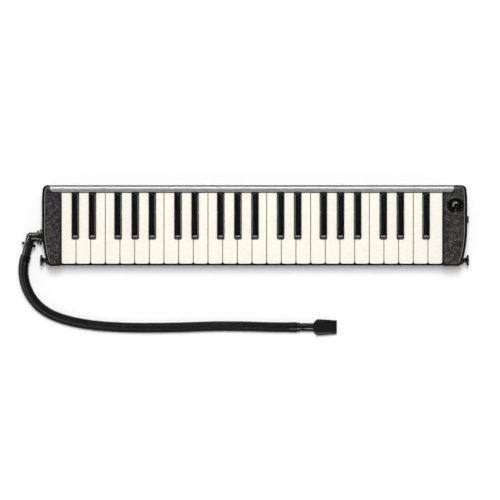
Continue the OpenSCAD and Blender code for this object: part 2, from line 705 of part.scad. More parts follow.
upper_case();
chamber_frame();
bottom_cover();
top_rail();
reed_plates();
pivot_rod();
return_springs();
case_screws();
strap_fittings();
pickup_unit();
blow_elbow();
hose();
hose_tip();
mouthpiece();
volume_knob();
drain_button();
for (n = [0 : keys - 1])
    union() {
        if (is_black(n)) black_key(n);
        else white_key(n);
    }
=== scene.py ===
"""Looks of the melodica, on its CAD frame. Lengths are in millimetres until Shape.piece."""

import json
from math import cos, pi, radians, sin, tan, tau

import bmesh
import bpy
from mathutils import Matrix, Vector, noise

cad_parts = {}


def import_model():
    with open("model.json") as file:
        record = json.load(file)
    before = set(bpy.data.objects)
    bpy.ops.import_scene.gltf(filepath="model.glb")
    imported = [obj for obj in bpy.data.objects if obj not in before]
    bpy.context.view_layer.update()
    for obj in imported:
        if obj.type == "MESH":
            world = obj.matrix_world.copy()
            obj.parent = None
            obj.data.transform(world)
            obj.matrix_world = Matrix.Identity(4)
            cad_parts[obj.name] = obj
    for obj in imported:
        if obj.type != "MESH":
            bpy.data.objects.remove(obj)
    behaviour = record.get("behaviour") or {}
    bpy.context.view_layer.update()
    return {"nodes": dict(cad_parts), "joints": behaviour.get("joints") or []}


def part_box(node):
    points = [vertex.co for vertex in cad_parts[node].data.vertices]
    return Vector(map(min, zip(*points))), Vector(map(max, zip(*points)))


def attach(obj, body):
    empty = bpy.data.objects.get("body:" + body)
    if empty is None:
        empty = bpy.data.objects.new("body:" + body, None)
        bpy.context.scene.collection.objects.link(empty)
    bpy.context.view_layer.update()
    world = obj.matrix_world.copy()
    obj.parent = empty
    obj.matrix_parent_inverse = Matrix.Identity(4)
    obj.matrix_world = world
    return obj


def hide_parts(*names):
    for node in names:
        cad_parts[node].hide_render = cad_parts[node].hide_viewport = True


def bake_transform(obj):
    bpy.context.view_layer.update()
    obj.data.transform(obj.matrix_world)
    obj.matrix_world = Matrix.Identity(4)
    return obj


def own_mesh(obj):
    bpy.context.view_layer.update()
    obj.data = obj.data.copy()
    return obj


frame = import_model()
MM = 0.001
BODY = "instrument_body"


def scene_object(name, data):
    obj = bpy.data.objects.new(name, data)
    bpy.context.scene.collection.objects.link(obj)
    return obj


def node_box(node):
    """Lowest and highest corner of a CAD node."""
    low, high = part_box(node)
    return low / MM, high / MM


def joint(name):
    return next(j for j in frame["joints"] if j["name"] == name)


def joint_point(name):
    return Vector(joint(name)["pos_m"]) / MM


# ---------- sizes, from the frame

HALF_L = node_box("bottom_cover")[1].x
UPPER_LOW, UPPER_HIGH = node_box("upper_case")
RAIL_LOW, RAIL_HIGH = node_box("top_rail")
MOUTH_LOW, MOUTH_HIGH = node_box("mouthpiece")
HALF_W = UPPER_HIGH.y
BODY_H = UPPER_HIGH.z
SEAM_Z = UPPER_LOW.z
KEYS = sorted(n for n in frame["nodes"] if n.startswith("key_"))
KEY_BOX = {k: node_box(k) for k in KEYS}
BLACK = {k: "sharp" in k for k in KEYS}
WHITES = [k for k in KEYS if not BLACK[k]]
BLACKS = [k for k in KEYS if BLACK[k]]
WHITE_TOP = KEY_BOX[WHITES[0]][1].z
BLACK_TOP = max(KEY_BOX[k][1].z for k in KEYS)
BLACK_FRONT = min(KEY_BOX[k][0].y for k in BLACKS)
KEY_X0 = KEY_BOX[WHITES[0]][0].x
KEY_X1 = KEY_BOX[WHITES[-1]][1].x
PAD_Z = KEY_BOX[WHITES[0]][0].z
DECK_Z = PAD_Z - 0.1
PIVOT = joint_point(KEYS[0] + "_press")
PORT = joint_point("blow_elbow_turn")
KNOB = joint_point("dial_turn")
TIP = joint_point("blow_mouthpiece_turn")
WALL = 2.5


# ---------- mesh building

def circle(r, h, sides, ripple=None):
    """A level ring of points. The ripple changes its radius."""
    out = []
    for k in range(sides):
        a = tau * k / sides
        q = r + (ripple(a, r, h) if ripple else 0)
        out.append((q * cos(a), q * sin(a), h))
    return out


def arc(cx, cy, r, start, turn, steps):
    """Points on a circle, from the start angle through the turn, in degrees."""
    angles = [radians(start + turn * i / steps) for i in range(steps + 1)]
    return [(cx + r * cos(a), cy + r * sin(a)) for a in angles]


def round_rect(x0, y0, x1, y1, r, steps):
    """A rectangle with rounded corners, counter-clockwise."""
    front = arc(x0 + r, y0 + r, r, 180, 90, steps) + arc(x1 - r, y0 + r, r, 270, 90, steps)
    return front + arc(x1 - r, y1 - r, r, 0, 90, steps) + arc(x0 + r, y1 - r, r, 90, 90, steps)


class Shape:
    """Collects closed shells, each with a material number, into one object."""

    def __init__(self):
        self.points = []
        self.faces = []
        self.slots = []

    def add(self, points, faces, slot=0, place=None):
        base = len(self.points)
        place = place or Matrix.Identity(4)
        self.points += [place @ Vector(p) for p in points]
        self.faces += [[base + i for i in f] for f in faces]
        self.slots += [slot] * len(faces)
        return self

    def loft(self, rings, slot=0, place=None, loop=False):
        """A skin over equal rings, capped at both ends or joined end to start."""
        count = len(rings[0])
        faces = []
        for i in range(len(rings) if loop else len(rings) - 1):
            j = (i + 1) % len(rings)
            for k in range(count):
                m = (k + 1) % count
                faces.append([i * count + k, i * count + m, j * count + m, j * count + k])
        if not loop:
            faces.append(list(range(count))[::-1])
            faces.append([(len(rings) - 1) * count + k for k in range(count)])
        return self.add([p for ring in rings for p in ring], faces, slot, place)

    def lathe(self, profile, slot=0, place=None, sides=48, ripple=None):
        """Turns (radius, height) points about Z. A tiny cap closes an end at radius 0."""
        return self.loft([circle(max(r, 0.01), h, sides, ripple) for r, h in profile], slot, place)

    def tube(self, outer, inner, slot=0, place=None, sides=48, ripple=None):
        """A turned ring: the outer profile, then back along the inner one."""
        profile = list(outer) + list(inner)[::-1]
        return self.loft([circle(r, h, sides, ripple) for r, h in profile], slot, place, loop=True)

    def block(self, low, high, r=0.4, slot=0, place=None):
        """A box with all its edges rounded."""
        low, high = Vector(low), Vector(high)
        r = min(r, *((high - low) / 2.01))
        lower = arc(r, low.z + r, r, -90, -90, 3)
        upper = [(inset, low.z + high.z - z) for inset, z in lower[::-1]]
        rings = []
        for inset, z in lower + upper:
            sides = low.x + inset, low.y + inset, high.x - inset, high.y - inset
            rings.append([(x, y, z) for x, y in round_rect(*sides, max(r - inset, 0.02), 3)])
        return self.loft(rings, slot, place)

    def piece(self, name, body, materials, replaces=(), slot=None, angle=32, ride=True):
        mesh = bpy.data.meshes.new(name)
        mesh.from_pydata([p * MM for p in self.points], [], self.faces)
        for m in materials:
            mesh.materials.append(m)
        mesh.polygons.foreach_set("material_index", self.slots)
        work = bmesh.new()
        work.from_mesh(mesh)
        bmesh.ops.recalc_face_normals(work, faces=work.faces)
        work.to_mesh(mesh)
        work.free()
        shade(mesh, angle)
        obj = scene_object(name, mesh)
        if ride:
            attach(obj, body)
        if replaces:
            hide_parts(*replaces)
        return obj


def shade(mesh, angle):
    """Smooth shading, but sharp where faces meet at more than the angle."""
    for polygon in mesh.polygons:
        polygon.use_smooth = True
    mesh.set_sharp_from_angle(angle=radians(angle))


def along(x=0, y=0, z=0, axis="z"):
    """A place whose Z runs along the named axis."""
    turn = {"z": 0, "x": pi / 2, "-x": -pi / 2}[axis]
    return Matrix.Translation((x, y, z)) @ Matrix.Rotation(turn, 4, "Y")


def apply_modifiers(obj):
    """Turns the modifiers' result into the mesh."""
    bpy.context.view_layer.update()
    graph = bpy.context.evaluated_depsgraph_get()
    mesh = bpy.data.meshes.new_from_object(obj.evaluated_get(graph))
    obj.modifiers.clear()
    obj.data = mesh
    return obj


def cut(obj, *cutters):
    """Takes the cutters away from the object, and deletes them."""
    for c in cutters:
        m = obj.modifiers.new("cut", "BOOLEAN")
        m.operation = "DIFFERENCE"
        m.solver = "EXACT"
        m.object = c
    apply_modifiers(obj)
    for c in cutters:
        bpy.data.objects.remove(c)
    return obj


def bevel(obj, width, angle):
    m = obj.modifiers.new("bevel", "BEVEL")
    m.width = width * MM
    m.segments = 2
    m.limit_method = "ANGLE"
    m.angle_limit = radians(angle)
    m.miter_outer = "MITER_ARC"
    return apply_modifiers(obj)


def cutter(shape):
    return shape.piece("cutter", BODY, [], ride=False)


def box_cutter(x0, y0, z0, x1, y1, z1):
    corners = ((x0, y0), (x1, y0), (x1, y1), (x0, y1))
    return cutter(Shape().loft([[(x, y, z) for x, y in corners] for z in (z0, z1)]))


def round_cutter(r, length, place):
    return cutter(Shape().lathe([(r, 0), (r, length)], place=place, sides=64))


def bezier(p, t):
    p = [Vector(q) for q in p]
    s = 1 - t
    return s ** 3 * p[0] + 3 * s * s * t * p[1] + 3 * s * t * t * p[2] + t ** 3 * p[3]


# ---------- materials

def grey(level):
    return (level, level, level)


class Nodes:
    """Writes the node tree of a material, or of the world."""

    def __init__(self, name, owner=None):
        self.owner = owner or bpy.data.materials.new(name)
        self.owner.use_nodes = True
        self.tree = self.owner.node_tree
        self.shader = next(n for n in self.tree.nodes if n.type in ("BSDF_PRINCIPLED", "BACKGROUND"))
        self.places = self.add("ShaderNodeTexCoord").outputs

    def add(self, kind, **inputs):
        node = self.tree.nodes.new(kind)
        for key, value in inputs.items():
            self.put(node, key.replace("_", " "), value)
        return node

    def put(self, node, key, value):
        socket = node.inputs[key]
        if isinstance(value, bpy.types.NodeSocket):
            self.tree.links.new(value, socket)
        else:
            socket.default_value = value

    def scaled(self, size_mm, stretch=(1, 1, 1)):
        """Places in units of size_mm, drawn out along each axis by its stretch."""
        scale = [1 / (size_mm * MM * s) for s in stretch]
        return self.add("ShaderNodeMapping", Vector=self.places["Object"], Scale=scale).outputs[0]

    def noise(self, size_mm, detail=3, rough=0.5, stretch=(1, 1, 1), distort=0):
        """Noise whose lumps are about size_mm wide."""
        return self.add("ShaderNodeTexNoise", Vector=self.scaled(size_mm, stretch), Scale=1, Detail=detail,
                        Roughness=rough, Distortion=distort).outputs["Fac"]

    def cells(self, size_mm):
        """Distance to the nearest edge between cells about size_mm wide."""
        node = self.add("ShaderNodeTexVoronoi", Vector=self.scaled(size_mm), Scale=1)
        node.feature = "DISTANCE_TO_EDGE"
        return node.outputs["Distance"]

    def ramp(self, value, stops):
        node = self.add("ShaderNodeValToRGB")
        self.tree.links.new(value, node.inputs[0])
        elements = node.color_ramp.elements
        while len(elements) < len(stops):
            elements.new(0.5)
        for element, (place, colour) in zip(elements, stops):
            element.position = place
            element.color = (*colour, 1)
        return node.outputs[0]

    def levels(self, value, low, high, start=0, end=1):
        """Maps start..end of a value to low..high."""
        return self.add("ShaderNodeMapRange", Value=value, From_Min=start, From_Max=end, To_Min=low,
                        To_Max=high).outputs[0]

    def mix(self, share, first, second):
        node = self.tree.nodes.new("ShaderNodeMix")
        node.data_type = "RGBA"
        for i, value in ((0, share), (6, first), (7, second)):
            self.put(node, i, (*value, 1) if isinstance(value, (tuple, list)) else value)
        return node.outputs[2]

    def sum(self, first, share, second):
        """The first value times its share, plus the second."""
        node = self.add("ShaderNodeMath")
        node.operation = "MULTIPLY_ADD"
        for i, value in enumerate((first, share, second)):
            self.put(node, i, value)
        return node.outputs[0]

    def edges(self, low=0.52, high=0.6):
        """0 on flat surfaces, 1 on worn outer edges."""
        return self.levels(self.add("ShaderNodeNewGeometry").outputs["Pointiness"], 0, 1, low, high)

    def bump(self, height, depth_mm, strength=1):
        node = self.add("ShaderNodeBump", Strength=strength, Distance=depth_mm * MM, Height=height)
        self.put(self.shader, "Normal", node.outputs[0])

    def set(self, **inputs):
        for key, value in inputs.items():
            if key == "Base_Color" and isinstance(value, tuple):
                value = (*value, 1)
            self.put(self.shader, key.replace("_", " "), value)
        return self.owner


def ivory():
    """White keys: warm, glossy, slightly uneven, with fine marks along the key."""
    n = Nodes("ivory_plastic")
    tone = n.mix(n.noise(26, 2, stretch=(0.4, 2, 1)), (0.89, 0.87, 0.77), (0.865, 0.845, 0.745))
    n.bump(n.sum(n.noise(0.35, 4, 0.6, stretch=(1, 22, 1)), 0.15, n.noise(9, 1)), 0.015, 0.25)
    return n.set(Base_Color=tone, Roughness=n.levels(n.noise(4, 4, 0.65), 0.24, 0.34, 0.3, 0.7),
                 Subsurface_Weight=0.04, Subsurface_Radius=(0.002, 0.0016, 0.001), Coat_Weight=0.25,
                 Coat_Roughness=0.12)


def ebony():
    """Black keys: deep gloss with faint finger marks and thin scratches."""
    n = Nodes("black_key_gloss")
    n.bump(n.sum(n.noise(0.3, 3, 0.5, stretch=(1, 30, 1)), 0.2, n.noise(14, 1)), 0.03, 0.3)
    return n.set(Base_Color=n.mix(n.edges(), grey(0.001), (0.006, 0.006, 0.007)),
                 Roughness=n.levels(n.noise(6, 5, 0.7), 0.09, 0.17, 0.35, 0.75), Specular_IOR_Level=0.14)


def crinkle():
    """Crinkle paint: worm-like ridges, with a painted highlight on the crests and painted shade in the
    hollows.
    """
    n = Nodes("crinkle_paint")
    folds = n.noise(4.2, 5, 0.66, distort=1.5)
    n.bump(n.sum(n.noise(0.6, 3, 0.6), 0.35, folds), 0.9, 0.9)
    # The colour follows the folds: the pale crests are a painted highlight and the near-black hollows are
    # painted shade.
    tone = n.ramp(folds, [(0.4, grey(0.0012)), (0.51, (0.007, 0.0068, 0.0064)),
                          (0.63, (0.1, 0.094, 0.085))])
    patches = n.mix(n.levels(n.noise(22, 3), 0, 0.16, 0.35, 0.7), tone, (0.02, 0.02, 0.021))
    return n.set(Base_Color=patches, Roughness=n.levels(folds, 0.6, 0.42, 0.35, 0.65),
                 Specular_IOR_Level=0.14)


def moulded(name, colour, rough=0.42, grain=0.35, depth=0.05, worn=grey(0.06), shine=0.5):
    """Moulded or painted surface: fine grain, soft patches, paler edges."""
    n = Nodes(name)
    n.bump(n.noise(grain, 3, 0.6), depth, 0.6)
    patches = n.noise(30, 3)
    base = n.mix(n.levels(patches, 0, 0.5), colour, [c * 1.5 for c in colour])
    return n.set(Base_Color=n.mix(n.edges(0.53, 0.66), base, worn), Specular_IOR_Level=shine,
                 Roughness=n.levels(patches, rough - 0.04, rough + 0.08, 0.3, 0.7))


def metal(name, colour, rough=0.22, brushed=(1, 1, 1), brush_mm=0.25, anisotropy=0, relief=0.35):
    """Bare metal with a brushed or turned finish."""
    n = Nodes(name)
    lines = n.noise(brush_mm, 4, 0.6, stretch=brushed)
    n.bump(lines, 0.02, relief)
    return n.set(Base_Color=n.mix(n.noise(18, 3), colour, [c * 0.86 for c in colour]), Metallic=1,
                 Roughness=n.levels(lines, rough - 0.06, rough + 0.1, 0.3, 0.7), Anisotropic=anisotropy)


def rubber():
    """Ribbed hose: dull black, greyer on the crests where it rubs."""
    n = Nodes("hose_rubber")
    n.bump(n.noise(0.5, 3), 0.05, 0.6)
    dust = n.levels(n.noise(8, 4), 0, 0.6, 0.4, 0.8)
    worn = n.mix(n.edges(0.5, 0.58), grey(0.0015), grey(0.006))
    return n.set(Base_Color=n.mix(dust, worn, grey(0.003)), Roughness=n.levels(dust, 0.3, 0.46),
                 Specular_IOR_Level=0.08)


def felt(name, colour):
    n = Nodes(name)
    fibres = n.noise(0.3, 5, 0.8, distort=2)
    n.bump(fibres, 0.25, 1)
    return n.set(Base_Color=n.mix(fibres, colour, [c * 0.5 for c in colour]), Roughness=0.95,
                 Sheen_Weight=0.5)


def leather(name, colour):
    n = Nodes(name)
    cells = n.cells(1.1)
    n.bump(n.levels(cells, 0, 1, 0, 0.25), 0.12, 0.8)
    return n.set(Base_Color=n.mix(n.levels(cells, 0, 1, 0, 0.2), [c * 0.45 for c in colour], colour),
                 Roughness=n.levels(n.noise(5), 0.45, 0.65))


IVORY = ivory()
EBONY = ebony()
CRINKLE = crinkle()
CASE_BLACK = moulded("case_black", grey(0.002), 0.24, 0.35, 0.02, grey(0.02), 0.14)
# Pale grey of the bead round the end panels is a painted highlight for the light along the case's edge.
# The small lamp's rim uses it too.
PALE_RIM_HIGHLIGHT = moulded("pale_rim_highlight", (0.13, 0.13, 0.124), 0.35, 0.5, 0.05, (0.3, 0.3, 0.29))
COVER_BLACK = moulded("cover_black", grey(0.016), 0.5, 0.8, 0.12)
FRAME_BLACK = moulded("frame_black", (0.014, 0.014, 0.015), 0.5)
SATIN_BLACK = moulded("satin_black", grey(0.002), 0.13, 0.3, 0.008, grey(0.02), 0.16)
GLOSS_BLACK = moulded("gloss_black", grey(0.001), 0.12, 0.6, 0.01, grey(0.01), 0.18)
GRIP_BLACK = moulded("grip_black", grey(0.004), 0.3, 0.9, 0.12, grey(0.03), 0.16)
ALUMINIUM = metal("satin_aluminium", (0.86, 0.86, 0.87), 0.22, (60, 1, 1), 0.3, 0.3, 0.03)
STEEL = metal("spring_steel", (0.62, 0.62, 0.64))
BRASS = metal("reed_brass", (0.78, 0.58, 0.28), 0.26, (1, 12, 1), 0.3)
DARK_STEEL = metal("black_steel", (0.09, 0.09, 0.095), 0.32)
RUBBER = rubber()
FELT = felt("stop_felt", (0.05, 0.012, 0.012))
# Near-black felt under the rail: its darkness is painted shade, standing in for the shade under the rail's
# front lip.
RAIL_SHADE_FELT = felt("rail_shade_felt", grey(0.006))
PAD = leather("valve_pad_leather", (0.42, 0.26, 0.16))
STRAP = leather("strap_leather", (0.03, 0.028, 0.026))
THREAD = moulded("strap_thread", grey(0.12), 0.7, 0.2, 0.1)
BOARD = moulded("circuit_board", (0.01, 0.09, 0.035), 0.35, 0.3, 0.01)
MARK = moulded("pale_mark", (0.4, 0.4, 0.38), 0.4, 0.3, 0.01)
DIM_MARK = moulded("dim_mark", (0.03, 0.03, 0.028), 0.4, 0.3, 0.01)


def paint(node, material):
    """Gives a CAD node its finish."""
    slots = frame["nodes"][node].data.materials
    slots.clear()
    slots.append(material)


# ---------- body outline

CORNER_R = 7
REAR_DRAW_Y = 30
TAPER_START = -5
CHAMFER_Y = -39
TAPER = 3.7
BLOCK_Y = -HALF_W - 1
BLOCK_FRONT_X = HALF_L - 10.5


def side_inset(y):
    """How far the side draws in from its widest line."""
    if y > REAR_DRAW_Y:
        return ((y - REAR_DRAW_Y) / 18) ** 2
    return TAPER * (max(TAPER_START - y, 0) / (TAPER_START - CHAMFER_Y)) ** 1.7


def side_points(key_end):
    """One half of the body from above. The block's front steps back where the keys end."""
    side = [Vector(p) for p in arc(HALF_L - 1 - CORNER_R, HALF_W - CORNER_R, CORNER_R, 90, -90, 12)]
    y = HALF_W - CORNER_R - 2
    while y > CHAMFER_Y + 1:
        side.append(Vector((HALF_L - side_inset(y), y)))
        y -= 2.5
    corner = [(HALF_L - TAPER, CHAMFER_Y), (BLOCK_FRONT_X + 4, BLOCK_Y + 6.3),
              (BLOCK_FRONT_X + 3.5, BLOCK_Y), (BLOCK_FRONT_X - 2.2, BLOCK_Y)]
    side += [bezier(corner, i / 12) for i in range(13)]
    return side + [Vector((key_end + 2.4, BLOCK_Y)), Vector((key_end + 1.8, -HALF_W))]


def outline(inset=0):
    """The body from above, drawn in by the inset. The steps beside the keys only move back."""
    right, left = side_points(KEY_X1), side_points(-KEY_X0)
    loop = right + [Vector((-p.x, p.y)) for p in left[::-1]]
    out = []
    for i, p in enumerate(loop):
        before = (p - loop[i - 1]).normalized()
        after = (loop[(i + 1) % len(loop)] - p).normalized()
        bisector = (before + after).normalized()
        inward = Vector((bisector.y, -bisector.x))
        move = inward * inset / max(0.5, inward.dot(Vector((before.y, -before.x))))
        at_step = abs(i - len(right) + 0.5) < 2
        out.append(tuple(p + (Vector((0, inset)) if at_step else move)))
    return out


def flat_rings(levels):
    """Rings of the outline at several (inset, height) levels."""
    return [[(x, y, z) for x, y in outline(inset)] for inset, z in levels]


def side_x(y):
    """Half the body's length at Y, for the rows of the top panels."""
    points = [p for p in outline() if p[0] > 0]
    return max(x0 + (x1 - x0) * (y - y0) / (y1 - y0) for (x0, y0), (x1, y1) in zip(points, points[1:])
               if y0 != y1 and min(y0, y1) <= y <= max(y0, y1))


# ---------- upper case

EDGE_IN = 3.3
EDGE_DROP = 2.6
WELL_X0 = KEY_X0 - 0.8
WELL_X1 = KEY_X1 + 0.8
WELL_FRONT = -HALF_W + 1.4
FRONT_WALL_TOP = WHITE_TOP - 13
ROOF_T = 5.5
RAIL_HOOK = 2.4
RAIL_CUT = 3.2
RAIL_LIP_Z = BODY_H - 1.3
RAIL_CLEAR = 0.15
RECESS_R = 10.5
SIDE_Z = 24
JACK_Y = 7.7
PIN_Y = -48.1
PIN_SEATS = [along(side * (HALF_L - 6.2), PIN_Y, SIDE_Z, axis) for side, axis in ((-1, "-x"), (1, "x"))]


def rail_plan(grow):
    """The rail from above, with its front corners cut off."""
    x0, x1, y = RAIL_LOW.x, RAIL_HIGH.x, RAIL_LOW.y
    return [(x0 - grow, HALF_W + 5), (x0 - grow, y + RAIL_CUT), (x0 + RAIL_CUT, y - grow),
            (x1 - RAIL_CUT, y - grow), (x1 + grow, y + RAIL_CUT), (x1 + grow, HALF_W + 5)]


def end_block_hollows():
    """The spaces inside both end blocks."""
    inside = cutter(Shape().loft(flat_rings([(WALL, -1), (WALL, BODY_H - ROOF_T)])))
    return cut(inside, box_cutter(WELL_X0 - WALL, -HALF_W - 5, -2, WELL_X1 + WALL, HALF_W + 5, BODY_H))


def upper_case():
    edge = [(EDGE_IN * (1 - x), BODY_H - EDGE_DROP * (1 - z)) for x, z in arc(0, 0, 1, 0, 90, 7)]
    shell = Shape().loft(flat_rings([(0.4, SEAM_Z), (0, SEAM_Z + 0.4)] + edge))
    case = shell.piece("upper_case_shell", BODY, [CASE_BLACK], ["upper_case"], "crinkle_black")
    rail_room = [[(x, y, z) for x, y in rail_plan(0.12)] for z in (RAIL_LIP_Z - RAIL_CLEAR, 99)]
    cut(case,
        box_cutter(WELL_X0, WELL_FRONT, 0, WELL_X1, HALF_W - 2.2, 100),
        box_cutter(WELL_X0, -HALF_W - 5, FRONT_WALL_TOP, WELL_X1, WELL_FRONT + 1, 100),
        cutter(Shape().loft(rail_room)),
        box_cutter(RAIL_LOW.x - RAIL_CLEAR, HALF_W - RAIL_HOOK - RAIL_CLEAR, RAIL_LOW.z - RAIL_CLEAR,
                   RAIL_HIGH.x + RAIL_CLEAR, HALF_W + 6, 98),
        round_cutter(9.3, 40, along(-HALF_L - 5, PORT.y, PORT.z, "x")),
        round_cutter(RECESS_R, 20, along(*KNOB)),
        round_cutter(4.2, 30, along(KNOB.x, KNOB.y, KNOB.z - 15)),
        round_cutter(8.3, 20, along(HALF_L - 2.1, JACK_Y, SIDE_Z, "x")),
        round_cutter(4.9, 40, along(HALF_L - 15, JACK_Y, SIDE_Z, "x")),
        *(round_cutter(5.35, 20, seat) for seat in PIN_SEATS),
        end_block_hollows())
    bevel(case, 0.35, 40)
    shade(case.data, 30)
    bosses = Shape()
    for seat in PIN_SEATS:
        bosses.tube([(5.7, -8), (5.95, -7.7), (5.95, 0.1), (5.75, 0.3)],
                    [(4.4, -8), (4.4, -0.05), (5.3, -0.03), (5.35, 0.3)], 0, seat, 56)
    bosses.piece("strap_pin_bosses", BODY, [CASE_BLACK], slot="crinkle_black", angle=40)


# ---------- grained panels on the end blocks

GRAIN_MM = 2.6
GRAIN_DEPTH = 0.5
GRAIN_STEP = 0.62
PANEL_COLUMNS = 48
PANEL_LIFT = 0.12
PANEL_MARGIN = 4.2
PANEL_T = 0.25
TRIM = ((3.3, -0.1), (3.5, 0.28), (4.1, 0.28), (4.3, -0.1))


def grain(x, y):
    """Height of the crinkle relief, about 0 to 1."""
    p = Vector((x, y, 0)) / GRAIN_MM
    warp = noise.noise_vector(p * 0.5) * 0.9
    ridge = 1 - abs(noise.noise(p + warp)) * 2.2
    fine = noise.noise(p * 2.7 + Vector((7, 3, 1)))
    return max(0, min(1, 0.62 * ridge + 0.25 * fine + 0.18))


def panel_span(side, y):
    """Where a panel's row starts and ends in X, from the rim to the keys or the rail."""
    beside_rail = y > RAIL_LOW.y - 0.8
    rail, well = (-RAIL_LOW.x, -WELL_X0) if side < 0 else (RAIL_HIGH.x, WELL_X1)
    return side * (side_x(y) - PANEL_MARGIN), side * (rail + 0.8 if beside_rail else well + 1)


def grained_panel(name, side):
    low, high = BLOCK_Y + 2.4, HALF_W - PANEL_MARGIN
    rows = int((high - low) / GRAIN_STEP)
    points = []
    for i in range(rows + 1):
        y = low + (high - low) * i / rows
        x0, x1 = panel_span(side, y)
        for k in range(PANEL_COLUMNS + 1):
            x = x0 + (x1 - x0) * k / PANEL_COLUMNS
            border = min(1, min(k, PANEL_COLUMNS - k, i, rows - i) / 1.5)
            lift = border * (PANEL_LIFT + GRAIN_DEPTH * grain(x, y))
            points.append(Vector((x, y, BODY_H + lift - PANEL_T / 2)))
    faces = []
    for i in range(rows):
        for k in range(PANEL_COLUMNS):
            a = i * (PANEL_COLUMNS + 1) + k
            face = [a, a + 1, a + PANEL_COLUMNS + 2, a + PANEL_COLUMNS + 1]
            middle = sum((points[j] for j in face), Vector()) / 4
            if (middle.xy - KNOB.xy).length > RECESS_R + 0.4:
                faces.append(face)
    panel = Shape().add(points, faces).piece(name, BODY, [CRINKLE], slot="crinkle_black", angle=180)
    m = panel.modifiers.new("thickness", "SOLIDIFY")
    m.thickness = PANEL_T * MM
    m.offset = 0
    apply_modifiers(panel)


def end_trim():
    """A thin pale bead round each grained panel, from the rail to the front corner: a painted highlight
    for the light line along the block's edge.
    """
    shape = Shape()
    for side in (-1, 1):
        edges = []
        for inset, lift in TRIM:
            loop = outline(inset)
            line = [(RAIL_HIGH.x + 0.9, HALF_W - inset)] + loop[:len(loop) // 2 - 2]
            edges.append([(side * x, y, BODY_H + lift) for x, y in line])
        shape.loft([list(ring) for ring in zip(*edges)])
    shape.piece("end_trim", BODY, [PALE_RIM_HIGHLIGHT], slot="crinkle_black", angle=30)


# ---------- rail

# (distance from the rear face, drop) of the rail's rear edge
RAIL_EDGE = [(0, 1.95), (0.12, 1.68), (0.4, 1.5), (2.5, 0.42), (2.8, 0.33), (3.3, 0.22), (3.8, 0.13),
             (4.2, 0.085), (4.6, 0.07)]
# (distance from the front lip, drop) of its front edge
RAIL_NOSE = [(4, 0), (2.6, 0.02), (1.2, 0.14), (0.5, 0.3), (0.15, 0.5), (0, 0.8)]
RAIL_ENDS = [0, 0.12, 0.3, 0.9, 1.6, RAIL_CUT]


def rail_section():
    """(Y, Z) of the rail: rear face, sloping rear edge, crown, and front lip."""
    y1, y0, top = HALF_W, RAIL_LOW.y, RAIL_HIGH.z
    out = [(y1, RAIL_LOW.z)] + [(y1 - d, top - drop) for d, drop in RAIL_EDGE]
    out += [(y0 + d, top - drop) for d, drop in RAIL_NOSE]
    return out + [(y0, RAIL_LIP_Z + 0.2), (y0 + 0.2, RAIL_LIP_Z), (y1 - RAIL_HOOK, RAIL_LIP_Z),
                  (y1 - RAIL_HOOK, RAIL_LOW.z)]


def top_rail():
    x0, x1 = RAIL_LOW.x, RAIL_HIGH.x
    middle = [(x0 + (x1 - x0) * i / 8, 99) for i in range(1, 8)]
    stations = [(x0 + s, s) for s in RAIL_ENDS] + middle + [(x1 - s, s) for s in RAIL_ENDS[::-1]]
    rings = []
    for x, distance in stations:
        front = RAIL_LOW.y + max(0, RAIL_CUT - distance)
        ease = 0.3 * max(0, 1 - distance / 0.3) ** 2
        ring = []
        for y, z in rail_section():
            y = max(y, front)
            inward = ease if y < HALF_W - 3.5 else -ease
            ring.append((x, y + inward, z - ease * (z > BODY_H)))
        rings.append(ring)
    Shape().loft(rings).piece("top_rail_extrusion", BODY, [ALUMINIUM], ["top_rail"], "satin_aluminium", 28)
    # A dark felt strip under the rail's front lip. Its darkness is painted shade for the shadow that the
    # lip would cast on the keys.
    shade_felt_strip = Shape().block((KEY_X0 + 0.4, RAIL_LOW.y - 1.25, RAIL_LIP_Z - 0.9),
                               (KEY_X1 - 0.4, RAIL_LOW.y + 2, RAIL_LIP_Z - 0.02), 0.3)
    shade_felt_strip.piece("rail_shade_felt", BODY, [RAIL_SHADE_FELT], angle=40)


# ---------- keys

KEY_PLATE = 2.4
KEY_WALL = 1.6
KEY_UNDER = WHITE_TOP - KEY_PLATE
SKIRT_Z = WHITE_TOP - 8
LIP_Z = WHITE_TOP - 11
LIP_DEPTH = 6
NOTCH_CLEAR = 0.6
NOTCH_Y = BLACK_FRONT - 0.9
FRONT_CORNER = 3
NOTCH_CORNER = 2.3
HANGER_W = 5
ROD_BORE_R = 1.5
PAD_HALF_W = 4
PAD_Y0 = 34
PAD_Y1 = 46
PAD_T = 1.8
# (inset, drop) of the rounded edge along a key's top
KEY_EDGE = [(1.3, 0), (0.75, 0.03), (0.42, 0.14), (0.2, 0.32), (0.06, 0.6), (0, 0.95)]
# (drop, front set-back, side draw-in, corner radius) of a black key's levels, from the skirt up
BLACK_LEVELS = [(4.6, 0.5, 0, 2.2), (3.6, 0.7, 0.02, 2.2), (2.6, 1, 0.06, 2.2), (1.9, 1.5, 0.12, 2.1),
                (1.45, 2.2, 0.24, 2), (1, 3.4, 0.48, 1.9), (0.6, 4.5, 0.92, 1.7), (0.36, 5.6, 1.24, 1.5),
                (0.2, 6.5, 1.55, 1.3), (0.08, 7.2, 1.95, 1.1), (0, 7.8, 2.4, 0.9)]


def tail_edges(index):
    """X of both sides of a white key's tail, beside the black keys."""
    low, high = KEY_BOX[KEYS[index]]
    left = KEY_BOX[KEYS[index - 1]][1].x + NOTCH_CLEAR if index and BLACK[KEYS[index - 1]] else low.x
    after = index + 1 < len(KEYS) and BLACK[KEYS[index + 1]]
    right = KEY_BOX[KEYS[index + 1]][0].x - NOTCH_CLEAR if after else high.x
    return left, right


def notch_side(outer, inner, y, width):
    """A notch from the key's side to its tail: a small outer corner, then a round inner one."""
    turn = 1 if outer > inner else -1
    r = min(NOTCH_CORNER, width - 0.6)
    out = [(outer, y - 0.5), (outer - 0.15 * turn, y - 0.15), (outer - 0.5 * turn, y)]
    return out + arc(inner + turn * r, y + r, r, -90, -90 * turn, 5)


